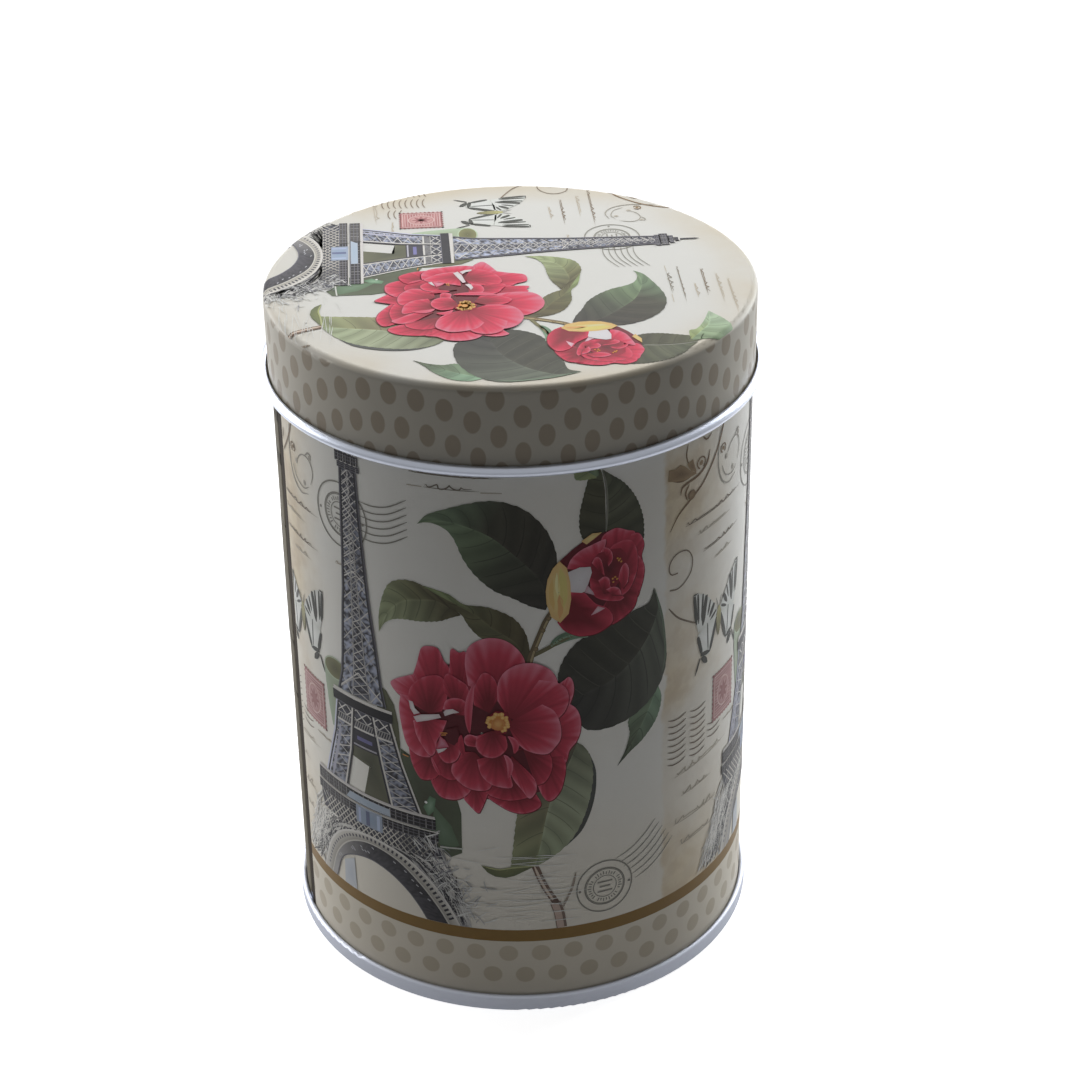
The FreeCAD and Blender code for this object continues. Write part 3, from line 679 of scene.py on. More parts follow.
def ironwork(ink, left, right, low, high, layer, random, bays, light):
    """Iron lattice between two edges, given as functions of height: blotched bars with pale crosses.

    bays counts the crosses, light says how bright the blotches are.
    """
    cell = 0.45
    height = np.linspace(low, high, max(3, int((high - low) / cell) + 1))
    near, far = left(height), right(height)
    share = np.linspace(0, 1, max(3, int(np.mean(np.abs(far - near)) / cell) + 1))
    across = near[:, None] + (far - near)[:, None] * share
    blotch = np.clip((random.uniform(0, 1, across.shape) - 0.35) * 2.2, 0, 1) * light
    points = np.stack([across, np.broadcast_to(height[:, None], across.shape)], -1)
    ink.grid(points, blend(IRON_DARK, IRON_BLUE, blotch), layer)
    levels = np.linspace(low, high, bays + 1)
    for floor, ceiling in zip(levels, levels[1:]):
        for start, end in ((left, right), (right, left)):
            tone = blend(IRON, GIRDER, np.array(random.uniform(0.3, 1.0)))
            ink.line((start(floor), floor), (end(ceiling), ceiling), 0.17, tone, layer + 1)


def chord(ink, edge, low, high, layer, width, side, shade):
    """An upright girder along an edge, with a dark line beside it."""
    height = np.linspace(low, high, 24)
    path = np.stack([edge(height), height], 1)
    ink.stroke(path + [0.3 * side, 0], width, IRON_DARK, layer)
    ink.stroke(path, width * 0.62, shade, layer + 1)


def slab(ink, left, right, low, high, layer, shade, ticks=0, top=0.3):
    """A level platform with a light upper edge and upright ticks."""
    columns = np.linspace(left, right, max(4, int(right - left)))
    points = np.stack([np.stack([columns, np.full_like(columns, h)], 1) for h in (low, high)])
    ink.grid(points, shade, layer)
    for number in range(ticks):
        place = left + (number + 0.5) * (right - left) / ticks
        tone = blend(IRON_DARK, GIRDER, np.array(0.05 + 0.4 * (number * 0.618 % 1)))
        ink.line((place, low), (place, high - 0.3), 0.2, tone, layer + 1)
    for share in (0.36, 0.68) if ticks else ():
        height = low + (high - low) * share
        ink.line((left, height), (right, height), 0.13, IRON, layer + 2)
    ink.line((left, high), (right, high), top, GIRDER, layer + 2)
    ink.line((left, low), (right, low), 0.14, IRON, layer + 2)


def make_tower():
    """A generic lattice tower: flared legs on an arch, three platforms and a tapering shaft."""
    random = np.random.default_rng(3)
    ink = Ink()
    layer = 11
    axis = -26.9                          # the tower's middle
    deck, upper_deck = 36.3, 54.6         # tops of the two big platforms
    crown = 94.8                          # foot of the cabin at the top
    left = straight((deck, -36.5), (46, -33.4), (52, -32.4), (55, -31.6), (58, -30.7), (62, -30.3),
                    (66, -30.0), (70, -29.7), (74, -29.3), (80, -29.0), (86, -28.8), (94.6, -28.5))
    right = straight((deck, -16.2), (45, -19.2), (52, -21.0), (55, -21.8), (58, -22.3), (62, -22.7),
                     (66, -23.1), (70, -23.6), (74, -24.0), (80, -24.4), (86, -24.8), (94.6, -25.2))
    inner_left = straight((deck, -31.4), (44, -29.6), (52, -28.7), (60, -27.8), (76, -27.3), (94, -27.0))
    inner_right = straight((deck, -21.4), (44, -23.0), (52, -24.3), (60, -25.4), (76, -26.2), (94, -26.7))
    for low, high, bays, light in ((upper_deck, 67, 4, 1.3), (67, 76, 4, 1.15), (76, 86, 6, 0.48),
                                   (86, crown, 6, 0.2)):
        ironwork(ink, left, inner_left, low, high, layer, random, bays, light)
        ironwork(ink, inner_right, right, low, high, layer, random, bays, light)
        ironwork(ink, inner_left, inner_right, low, high, layer + 2, random, bays * 2, 0.3)
    for floor, ceiling in ((54.8, 59.2), (75.6, 77.4)):
        ink.line((left(floor), floor), (axis, ceiling), 0.22, GIRDER, layer + 4)
        ink.line((right(floor), floor), (axis, ceiling), 0.22, GIRDER, layer + 4)
    for number in range(11):
        floor = 77.4 + number * 1.56
        ink.line((left(floor), floor), (-26.6, floor + 2.0), 0.16, GIRDER, layer + 4)
        ink.line((right(floor), floor + 0.5), (axis, floor + 2.3), 0.14, IRON, layer + 4)
    for edge, side in ((left, 1), (right, -1)):
        chord(ink, edge, upper_deck, crown, layer + 5, 0.36, side, IRON)
    for edge in (inner_left, inner_right):
        height = np.linspace(54.8, 86, 20)
        ink.stroke(np.stack([edge(height), height], 1), 0.2, srgb(166, 164, 162), layer + 4, (1.0, 0.2))
    ironwork(ink, left, inner_left, deck, 48.6, layer, random, 6, 0.8)
    ironwork(ink, inner_right, right, deck, 48.6, layer, random, 8, 0.7)
    ironwork(ink, left, right, 48.4, 52.2, layer, random, 0, 0.15)
    for number in range(5):
        place = left(52.0) + (number + 0.5) * 11.4 / 5
        for way in (-1, 1):
            ink.line((place - way * 1.1, 50.1), (place + way * 1.1, 52), 0.2, GIRDER, layer + 2)
    for number in range(26):
        place = left(49.4) + (number + 0.3) * 12.6 / 26
        ink.line((place, 48.8), (place + 0.42, 49.9), 0.2, srgb(150, 148, 146), layer + 2)
    ink.line((left(50), 50.0), (right(50), 50.0), 0.16, srgb(170, 168, 164), layer + 3)
    ink.line((left(48.6), 48.6), (right(48.6), 48.6), 0.36, GIRDER, layer + 3)
    bright = srgb(206, 208, 224)
    for share, shade in ((0.12, bright), (0.34, srgb(168, 168, 182))):
        lane = straight(*[(height, float(left(height) * (1 - share) + inner_left(height) * share))
                          for height in (deck, 44, 48.6)])
        height = np.linspace(36.5, 47.6, 14)
        ink.stroke(np.stack([lane(height), height], 1), 0.6, shade, layer + 2, (0.5, 0.3))
    for edge, side, shade in ((left, 1, bright), (inner_left, 1, GIRDER), (inner_right, -1, GIRDER),
                              (right, -1, GIRDER)):
        chord(ink, edge, deck, 52.4, layer + 3, 0.55, side, shade)
    patch(ink, layer - 1, [(-29.2, 48.5), (-23.6, 48.5), (-23.1, 45), (-29.6, 45)], srgb(60, 58, 66),
          IRON_DARK)
    ink.line((-28.0, 46.8), (-24.8, 46.8), 0.7, srgb(112, 110, 150), layer)
    ink.line((-28.8, 45.4), (-24.0, 45.4), 0.3, srgb(170, 168, 176), layer)
    slab(ink, -33.2, -20.6, 52.1, 53.9, layer + 6, IRON_DARK * 0.5, 0, 0.2)
    ink.line((-33.0, 54.3), (-20.6, 54.1), 0.5, GIRDER, layer + 9)
    slab(ink, -39.1, -31.0, 34.0, 36.1, layer + 6, srgb(64, 62, 60), 12, 0.16)
    slab(ink, -31.2, -13.8, 34.0, 36.1, layer + 6, srgb(27, 25, 27), 16, 0.22)
    slab(ink, -39.3, -30.4, 31.9, 33.6, layer + 6, srgb(62, 60, 58), 12, 0.2)
    slab(ink, -30.6, -13.4, 31.9, 33.6, layer + 6, srgb(25, 23, 25), 18, 0.2)
    ink.line((-38.9, 36.4), (-13.9, 36.3), 0.4, srgb(196, 192, 190), layer + 5)
    patch(ink, layer + 9, [(-31.4, 34.1), (-30.4, 35.5), (-22.0, 35.5), (-21.9, 34.1)], WINDOW,
          srgb(166, 176, 188))
    patch(ink, layer + 9, [(-29.2, 30.2), (-29.2, 33.6), (-23.6, 33.6), (-23.6, 30.2)], srgb(136, 152, 172),
          srgb(148, 157, 172))
    for place, width, shade in ((-26.6, 0.8, srgb(98, 104, 130)), (-28.4, 0.5, srgb(172, 182, 208)),
                                (-24.4, 0.6, srgb(176, 188, 210))):
        ink.line((place, 30.4), (place, 33.2), width, shade, layer + 10)
    slab(ink, -28.9, -24.5, crown, 95.8, layer + 6, IRON_DARK, 4, 0.14)
    slab(ink, -29.3, -24.7, 95.8, 97.5, layer + 6, srgb(48, 46, 50), 9, 0.14)
    slab(ink, -28.4, -25.4, 97.5, 98.6, layer + 6, IRON_DARK, 5, 0.2)
    slab(ink, -27.6, -26.2, 98.6, 99.6, layer + 6, IRON_DARK)
    ink.line((axis, 99.4), (axis, 103.6), 0.42, IRON_DARK, layer + 6, (1.0, 0.2))
    arch(ink, random, layer)
    scratches(ink, random, layer + 9)
    return ink


def veil(ink, random, layer, near, far, fade):
    """The grey haze behind the net of bars on the arch's shaded side."""
    height = np.linspace(LINE_HIGH + 0.1, 31.8, 34)[:, None]
    share = np.linspace(0, 1, 12)[None, :]
    across = near(height) * (1 - share) + far(height) * share
    tone = np.clip(fade[0] + (fade[1] - fade[0]) * share + random.normal(0, 0.14, across.shape), 0, 1)
    ink.grid(np.stack([across, height * np.ones_like(share)], -1), blend(IRON, HAZE, tone), layer)


def apron(ink, random, layer, near, far, fade, count):
    """The net of bars beside the arch: streaks that run with its slope and fade towards the far side."""
    foot = LINE_HIGH + 0.1
    for number in range(count):
        place = random.uniform(0, 1) ** 1.4
        low = random.uniform(foot, 30)
        height = np.linspace(low, min(low + random.uniform(1.2, 5), 32.2), 8)
        share = place + np.linspace(-0.05, 0.05, 8) * random.normal(0, 1.4)
        path = np.stack([near(height) * (1 - share) + far(height) * share, height], 1)
        tone = fade[0] + (fade[1] - fade[0]) * place + random.choice([-0.55, -0.3, 0.3, 0.5])
        shade = blend(IRON_DARK, HAZE, np.array(tone))
        ink.stroke(path, random.uniform(0.14, 0.34), shade, layer + 1 + number % 2, (0.2, 0.2))


def arch(ink, random, layer):
    """The arch under the first platform, with a netted rim and legs that fade to each side."""
    foot = LINE_HIGH + 0.1
    outer = spline([(-36.9, foot), (-34.8, 21.2), (-31.2, 25.2), (-26.4, 27.0), (-21.0, 26.0),
                    (-16.8, 22.6), (-13.9, 18.9), (-12.2, foot)], 0.5)
    inner = spline([(-35.5, foot), (-33.6, 20.6), (-30.4, 22.9), (-26.4, 23.8), (-22.6, 22.9),
                    (-19.4, 20.7), (-17.3, 18.2), (-15.9, foot)], 0.5)
    rim = spline([(-39.2, foot), (-36.6, 22.4), (-32.4, 26.7), (-26.4, 28.4), (-20.2, 27.4), (-15.6, 24.2),
                  (-12.4, 20.0), (-10.4, foot)], 0.5)
    count = 90
    outer, inner, rim = (paced(path, count) for path in (outer, inner, rim))
    share = np.linspace(0, 1, 7)[:, None, None]
    fade = np.clip(np.linspace(-0.2, 2.3, count), 0, 1)
    band = inner + (outer - inner) * share
    tone = np.clip(random.uniform(0, 0.3, band.shape[:2]) + 0.25 * (1 - share[..., 0]), 0, 1)
    iron = blend(srgb(34, 32, 34), IRON, tone)
    ink.grid(band, iron + (srgb(176, 174, 172) - iron) * (1 - fade)[None, :, None] * 0.8, layer + 3)
    net = outer + (rim - outer) * share
    ink.grid(net, blend(srgb(150, 146, 138), srgb(200, 197, 190), share[..., 0] * np.ones(count)), layer + 3)
    for number in range(4, count - 2, 2):
        middle = outer[number] * 0.45 + rim[number] * 0.55
        along = (outer[number + 1] - outer[number - 1]) * 0.26
        ink.line(middle - along, middle + along, 0.45 + 0.5 * (number / count) ** 2,
                 blend(IRON * 1.3, IRON_DARK, fade[number] * 0.6 + 0.4 * number / count), layer + 4)
    for path, width, shade in ((outer, 0.26, srgb(190, 187, 180)), (rim, 0.34, GIRDER), (inner, 0.2, IRON)):
        ink.stroke(path, width, shade, layer + 5)
    for number in range(12, 80):
        if random.uniform() < 0.35:
            spot = inner[number] + (outer[number] - inner[number]) * random.uniform(0.4, 0.8)
            ink.line(spot, spot + [0.45, -0.25], 0.2, srgb(176, 176, 180), layer + 4)
    crest = count // 2

    def rim_left(height):
        return np.interp(height, rim[:crest, 1], rim[:crest, 0])

    def rim_right(height):
        return np.interp(-height, -rim[crest:, 1], rim[crest:, 0])

    apron(ink, random, layer, rim_left, straight((foot, -47.0), (24, -42.4), (31.8, -39.4)), (0.20, 1.05),
          520)
    shaded = straight((foot, -8.4), (22, -9.8), (26, -11.4), (31.8, -14.0))
    veil(ink, random, layer, rim_right, shaded, (0.0, 0.55))
    apron(ink, random, layer, rim_right, shaded, (0.0, 0.55), 230)
    middle = straight((20, -30.4), (40, -30.4))
    ironwork(ink, straight((28, -38.0), (31.8, -38.8)), middle, 28.5, 32.0, layer + 3, random, 0, 0.12)
    ironwork(ink, middle, straight((28, -12.6), (31.8, -13.8)), 28.5, 32.0, layer + 3, random, 0, 0.1)
    for number in range(20):
        place = -37.0 + number * 22.0 / 19
        pale = srgb(194, 190, 182) if place < -20 else srgb(140, 137, 131)
        for way in (-1.5, 1.5):
            ink.line((place - way, 28.5), (place + way, 31.8), 0.19, pale, layer + 4)
    patch(ink, layer - 2, [(-33.2, foot), (-33.0, 20.6), (-30.4, 22.2), (-30.2, foot)], srgb(184, 190, 198),
          srgb(196, 200, 204))


def scratches(ink, random, layer):
    """Where the tower's right leg dissolves into pale brushed lines."""
    for number in range(150):
        share = random.uniform(0, 1)
        place = np.array([-15.5 + 8.5 * share + random.normal(0, 1.7),
                          30.5 - 12.5 * share + random.normal(0, 2.0)])
        angle = random.normal(-0.9, 0.5) if random.uniform() < 0.6 else random.normal(0.6, 0.3)
        length = random.uniform(0.8, 3.2)
        way = direction(angle)
        bow = np.array([-way[1], way[0]]) * random.uniform(-0.4, 0.4)
        path = bezier([place - way * length / 2, place + bow, place + way * length / 2], np.linspace(0, 1, 7))
        if path[:, 1].min() < LINE_HIGH + 0.2:
            continue
        beyond = path[:, 0].max() > -10.5
        shade = blend(IRON, PALE, np.array(random.uniform(0.25 if beyond else 0.0, 1.0)))
        ink.stroke(path, random.uniform(0.12, 0.26), shade, layer + number % 3, (0.2, 0.2))
    for number in range(46):
        start = np.array([random.uniform(-12, 4), random.uniform(17.5, 31.5)])
        end = start + [random.uniform(3, 9), random.normal(0.2, 0.5)]
        ink.line(start, end, random.uniform(0.08, 0.14), srgb(226, 226, 222), layer + 4, (0.1, 0.1))
    ink.line((-13.2, 31.0), (-9.4, 31.3), 0.3, srgb(190, 192, 184), layer + 3)


# ---- paper ornament: postmarks, stamp, rules, scrolls, butterfly --------------------------

def postmark(ink, centre, radius, core, layer, shade):
    """A round cancel without letters: two rings, ticks between them and bars in the middle."""
    centre = np.array(centre)
    for share, width in ((1.0, 0.24), (core, 0.20), (core * 0.94, 0.12), (core * 0.58, 0.14)):
        ink.arc(centre, (radius * share * 0.96, radius * share), 0, 360, width, shade, layer)
    for number in range(34):
        if number % 9 == 4:
            continue
        angle = 2 * math.pi * number / 34
        way = direction(angle)
        near, far = core * 0.66, core * (0.84 if number % 2 else 0.79)
        ink.line(centre + way * radius * near, centre + way * radius * far, 0.17, shade, layer)
    for number in range(-1, 2):
        height = number * radius * core * 0.26
        half = radius * core * (0.36 if number else 0.26)
        ink.line(centre + [-half, height], centre + [half, height], 0.28, shade, layer)
    for side in (-1, 1):
        ink.disc(centre + [side * radius * (1 + core) / 2, -0.2], 0.26, (shade, shade), layer, steps=6)


def sweep(ink, start, step, bend, count, layer, shade, width=0.2):
    """Parallel curved lines: each one starts a step further on and follows the same bend."""
    for number in range(count):
        first = np.array(start) + np.array(step) * number
        ink.curve([first + way for way in np.array(bend, float)], width, shade, layer, (0.3, 0.4))


def script_line(ink, start, end, size, layer, shade, seed):
    """A ruled line with a plain wavy pen stroke over it. It spells nothing."""
    random = np.random.default_rng(seed)
    ink.line(start, end, 0.13, shade, layer, (0.3, 0.1))
    path = resample([start, end], 0.22)
    t = np.linspace(0, 1, len(path))
    along = t * math.dist(start, end)
    swell = 0.5 + 0.5 * np.sin(along * random.uniform(0.5, 0.8) + random.uniform(0, 6))
    path[:, 1] += size * (0.45 + 0.55 * swell * np.sin(along * 3.6 + np.sin(along * 0.9)))
    path[:, 0] += 0.35 * size * np.sin(along * 3.6 + 1.2)
    cut = max(4, int(len(path) * 0.86))
    ink.stroke(path[:cut], 0.15 + 0.08 * swell[:cut], shade, layer + 1, (0.4, 0.4))


def make_rules():
    """Pen strokes and ruled lines in place of a letter's writing; no letters are drawn."""
    ink = Ink()
    dark = srgb(128, 122, 112)
    for number, (start, end, size, shade) in enumerate((
            ((-15.8, 97.5), (-1.6, 97.6), 0.20, dark), ((-13.6, 95.3), (-5.2, 95.4), 0.75, dark),
            ((28.0, 83.4), (44.4, 83.6), 0.55, SEPIA), ((30.8, 80.8), (40.4, 81.0), 0.65, FAINT),
            ((32.2, 77.3), (43.6, 77.5), 0.60, SEPIA), ((35.2, 74.7), (41.2, 75.0), 0.55, FAINT),
            ((47.8, 77.4), (50.6, 77.7), 0.45, FAINT), ((26.4, 38.4), (40.4, 39.4), 1.1, FAINT),
            ((27.8, 34.2), (35.8, 34.6), 1.0, FAINT), ((26.2, 29.2), (38.4, 29.4), 1.2, FAINT),
            ((27.6, 24.6), (37.0, 25.0), 1.0, FAINT), ((33.0, 20.4), (38.6, 20.6), 0.7, FAINT),
            ((39.4, 42.6), (45.4, 42.4), 0.3, FAINT), ((-9.0, 100.0), (-3.2, 100.1), 0.5, FAINT),
            ((-14.6, 102.0), (-3.8, 102.1), 0.6, SEPIA), ((-12.6, 104.6), (-1.0, 104.8), 0.6, FAINT),
            ((-10.4, 106.6), (3.4, 106.8), 0.5, FAINT))):
        script_line(ink, start, end, size, 1, shade, number)
    ink.line((-16.2, 95.2), (-13.8, 95.3), 0.13, FAINT, 1)
    ink.line((-5.0, 95.2), (-1.9, 95.2), 0.13, FAINT, 1)
    return ink


def make_postmarks():
    """Two round cancels with their curved tails, and the wave cancel beside the stamp."""
    ink = Ink()
    grey = srgb(136, 134, 126)
    postmark(ink, (-28.9, 86.4), 5.5, 0.66, 3, grey)
    sweep(ink, (-24.9, 90.1), (0, -1.22), [(0, 0), (2.6, -0.1), (5.4, 0.6), (8.5, 2.4)], 6, 3, grey)
    postmark(ink, (13.2, 22.5), 4.9, 0.72, 3, grey)
    sweep(ink, (15.0, 27.3), (0.72, -1.0), [(0, 0), (2.6, 1.1), (5.0, 2.8), (7.4, 5.2)], 6, 3, grey, 0.17)
    for left, count, top in ((24.7, 8, 49.8), (29.6, 8, 49.4), (34.2, 3, 44.6)):
        sweep(ink, (left, top), (0, -1.2), [(0, 0.1), (1.3, -0.35), (2.9, -0.3), (4.0, 0.1)], count, 3,
              SEPIA, 0.22)
    return ink


def make_stamp():
    """A postage stamp with a toothed edge, a hatched ground and a plain rosette."""
    ink = Ink()
    centre = np.array([39.15, 48.5])
    half = np.array([3.35, 4.3])
    rust, deep, pale = srgb(170, 126, 124), srgb(142, 94, 96), srgb(206, 180, 176)
    for axis in (0, 1):
        count = int(half[axis] * 2 / 0.8)
        for number in range(count + 1):
            place = centre.copy()
            place[axis] += -half[axis] + number * 2 * half[axis] / count
            for side in (-1, 1):
                spot = place.copy()
                spot[1 - axis] += side * half[1 - axis]
                ink.disc(spot, 0.24, (rust, rust), 4, steps=8)
    share = np.linspace(-1, 1, 15)
    across, up = np.meshgrid(share, share, indexing="xy")
    points = np.stack([centre[0] + across * half[0], centre[1] + up * half[1]], -1)
    ink.grid(points, blend(rust, deep, 0.3 + 0.3 * np.sin(9 * up + 2 * across)), 4)
    corners = [(-0.86, -0.88), (0.86, -0.88), (0.86, 0.88), (-0.86, 0.88), (-0.86, -0.88)]
    corners = centre + np.array(corners) * half
    for start, end in zip(corners, corners[1:]):
        ink.line(start, end, 0.2, pale, 5)
    for number in range(13):
        height = centre[1] - 3.3 + number * 0.55
        ink.line((centre[0] - 2.6, height), (centre[0] + 2.6, height), 0.12, pale, 5)
    ink.disc(centre, (1.95, 2.6), (pale, rust), 6, steps=24)
    ink.arc(centre, (1.95, 2.6), 0, 360, 0.2, pale, 7)
    for number in range(8):
        angle = math.pi / 4 * number
        way = np.array([math.cos(angle), math.sin(angle) * 1.25])
        Blade([centre, centre + way * 0.8, centre + way * 1.5], 0.34).fill(
            ink, lambda t, s: blend(rust, deep, 0.3 + 0.7 * t), 7)
    return ink


def make_butterfly():
    """A striped butterfly with swallow tails, seen from above."""
    ink = Ink()
    body = np.array([37.0, 63.8])
    white, stripe = srgb(230, 231, 228), srgb(66, 67, 62)
    upper = [(7.0, 6.6), (6.0, 6.6), (4.6, 5.9), (3.0, 4.5), (1.4, 2.6), (0.4, 1.0), (1.2, -0.2),
             (3.0, -0.4), (5.7, -0.6), (6.0, 0.4), (6.5, 2.2), (6.9, 4.6)]
    lower = [(5.7, -0.9), (5.8, -2.6), (5.2, -4.4), (4.2, -5.6), (3.0, -5.9), (2.4, -5.6), (1.6, -3.6),
             (0.8, -1.2), (0.5, 0.2), (3.0, 0.0)]
    stripes = (((6.75, 6.4), (6.15, 1.0), 0.7), ((5.95, 6.4), (5.65, 1.0), 0.5),
               ((4.65, 5.9), (4.9, 1.2), 0.5),
               ((3.75, 5.3), (4.6, 0.2), 0.95), ((2.6, 3.9), (3.3, 1.4), 0.5), ((1.5, 2.8), (2.8, 0.8), 0.85),
               ((0.8, 1.2), (2.6, 0.2), 0.5), ((7.0, 6.6), (5.9, 6.6), 0.3), ((0.6, -0.2), (2.6, -5.6), 0.8),
               ((3.3, 0.0), (3.0, -5.2), 0.3), ((5.75, -1.4), (4.6, -5.2), 0.75),
               ((4.9, -5.0), (2.5, -5.5), 0.8),
               ((4.6, -5.6), (3.2, -7.2), 1.0), ((5.1, -5.6), (6.3, -8.3), 0.36),
               ((0.2, 1.4), (0.9, 3.4), 0.14))
    for side in (-1, 1):
        for outline in (upper, lower):
            patch(ink, 4, [body + np.array([side * u, v]) for u, v in outline], white, srgb(208, 210, 204))
        for start, end, width in stripes:
            points = [body + np.array([side * u, v]) for u, v in (start, end)]
            ink.line(*points, width, stripe, 5, (0.7, 0.25))
    Blade([body + [0, -3.9], body, body + [0, 1.6]], 0.72, base=0.6, point=0.6).fill(
        ink, lambda t, s: blend(srgb(96, 92, 74), srgb(176, 172, 128), 0.2 + 0.8 * t), 7)
    return ink


def make_scrolls():
    """Pen flourishes: a leafy scroll under the rim, a ring of curls, a loop and a feeler."""
    ink = Ink()
    brown, light = srgb(118, 97, 73), srgb(152, 131, 102)
    strokes = (([(24.7, 83.7), (26.4, 86.0), (28.8, 87.6), (31.6, 89.2), (33.8, 91.4), (35.6, 93.8),
                 (37.0, 96.6), (37.8, 100.0), (37.0, 104.0)], 0.34),
               ([(26.8, 89.2), (27.0, 90.3), (28.4, 90.8), (30.8, 91.2), (32.7, 92.4), (33.4, 94.4)], 0.42),
               ([(25.0, 92.2), (27.0, 91.5), (29.4, 91.7)], 0.28),
               ([(28.2, 97.4), (27.9, 95.4), (28.6, 93.4), (30.0, 91.9)], 0.24),
               ([(31.6, 97.2), (32.6, 96.4), (33.8, 97.0)], 0.30),
               ([(28.2, 87.8), (27.8, 89.2), (28.6, 90.4)], 0.32))
    for path, width in strokes:
        ink.curve(path, width, brown, 3, (0.3, 0.3))
    for outline in ([(24.2, 92.4), (24.3, 94.3), (25.6, 94.0), (26.6, 94.4), (27.6, 93.8), (28.6, 92.8),
                     (30.4, 91.6), (27.6, 91.5), (25.8, 91.9)],
                    [(28.1, 94.0), (29.3, 94.4), (29.8, 93.0), (30.2, 91.9), (29.0, 92.5), (28.4, 93.2)]):
        patch(ink, 4, outline, brown, light)
    for centre, radius in (((31.3, 93.0), 0.95), ((37.3, 92.9), 0.75)):
        ink.arc(centre, radius, -60, 250, 0.24, brown, 3)
        ink.disc(centre, radius * 0.45, (brown, light), 3, steps=10)
    ink.disc((29.2, 88.4), 0.85, (light, brown), 4, steps=12)
    grey = srgb(150, 146, 136)
    for path, width in (([(36.4, 96.8), (35.9, 93.6), (36.0, 90.2), (37.2, 87.4), (39.4, 86.1),
                          (41.8, 86.7)], 0.26),
                        ([(37.0, 90.0), (38.2, 88.0), (40.4, 87.2), (42.0, 88.0)], 0.18),
                        ([(38.6, 91.2), (39.8, 92.6), (41.6, 93.1), (43.0, 92.2), (43.3, 90.4),
                          (42.6, 88.6)], 0.20),
                        ([(41.4, 93.2), (42.4, 94.0), (43.2, 93.6)], 0.26)):
        ink.curve(path, width, grey, 2, (0.4, 0.3))
    for spot in ((38.4, 91.0), (40.7, 88.2), (42.7, 93.2)):
        ink.disc(spot, (0.36, 0.5), (grey, srgb(186, 180, 168)), 2, steps=9)
    ink.curve([(26.4, 76.0), (25.0, 76.2), (24.6, 77.6), (25.4, 79.0), (26.9, 79.5), (28.6, 79.0),
               (29.6, 77.2), (29.3, 75.2), (28.0, 73.8), (26.4, 73.2), (24.8, 73.5)], 0.22, SEPIA, 2)
    ink.curve([(24.6, 70.4), (26.4, 68.2), (28.4, 66.7), (30.8, 65.2)], 0.30, SEPIA, 2, (0.5, 0.6))
    return ink


# ---- from the artboard to the tin ---------------------------------------------------------

def on_wall(points, layers, panel):
    """Artboard points wrapped around the wall, with the panel's turn."""
    angle = FRONT + (points[:, 0] + panel * PANEL) / WALL
    radius = WALL + INK_LIFT + INK_STEP * layers
    return np.stack([radius * np.cos(angle), radius * np.sin(angle), points[:, 1]], 1)


def on_lid(points, layers):
    """Artboard points laid on the lid, with up turned to the right, and over its rounded edge."""
    flat = (points - LID_CENTRE) * LID_SCALE
    across = flat[:, 1] * math.cos(LID_TURN) + flat[:, 0] * math.sin(LID_TURN)
    up = flat[:, 1] * math.sin(LID_TURN) - flat[:, 0] * math.cos(LID_TURN)
    reach = np.hypot(across, up)
    angle = np.arctan2(up, across)
    lift = INK_LIFT + INK_STEP * layers
    turn = np.clip((reach - LID_FLAT) / LID_EDGE, 0, math.pi / 2)
    radius = np.where(turn > 0, LID_FLAT + (LID_EDGE + lift) * np.sin(turn), reach)
    height = LID_TOP - LID_EDGE + (LID_EDGE + lift) * np.cos(turn)
    return np.stack([radius * np.cos(angle), radius * np.sin(angle), height], 1)


def keep_inside(points, faces, depth, push):
    """Drops faces that lie wholly outside; depth is positive inside, push moves points to the edge."""
    outside = depth < 0
    faces = faces[~outside[faces].all(axis=1)]
    points = np.where(outside[:, None], push, points)
    return points, faces


def seam_trim(points, faces, panel):
    """Keeps the picture off the lock seam's groove, the painted groove shade in front of it and the bare
    strip behind it.
    """
    circumference = 2 * math.pi * WALL
    groove = (math.radians(SEAM_GROOVE) - FRONT) * WALL
    place = points[:, 0] + panel * PANEL
    beyond = (place - groove + circumference / 2) % circumference - circumference / 2
    low, high = -SEAM_BARE - 0.9, SEAM_PAINTED_SHADE + 0.1
    depth = np.maximum(beyond - high, low - beyond)
    edge = np.where(beyond > (low + high) / 2, high, low)
    push = points.copy()
    push[:, 0] += edge - beyond
    return keep_inside(points, faces, depth, push)


def lid_trim(points, faces):
    """Ends the picture on the lid's rounded edge."""
    offset = points - LID_CENTRE
    reach = np.hypot(*(offset * LID_SCALE).T)
    push = LID_CENTRE + offset * (LID_PRINT / np.maximum(reach, 1e-6))[:, None]
    return keep_inside(points, faces, LID_PRINT - reach, push)


def face_up(points, faces):
    """All faces wound the same way round on the artboard; those with no area are dropped."""
    corner = points[faces]
    diagonal, other = corner[:, 2] - corner[:, 0], corner[:, 3] - corner[:, 1]
    area = (diagonal[:, 0] * other[:, 1] - diagonal[:, 1] * other[:, 0]) / 2
    faces = np.where((area < 0)[:, None], faces[:, ::-1], faces)
    return faces[np.abs(area) > 1e-5]


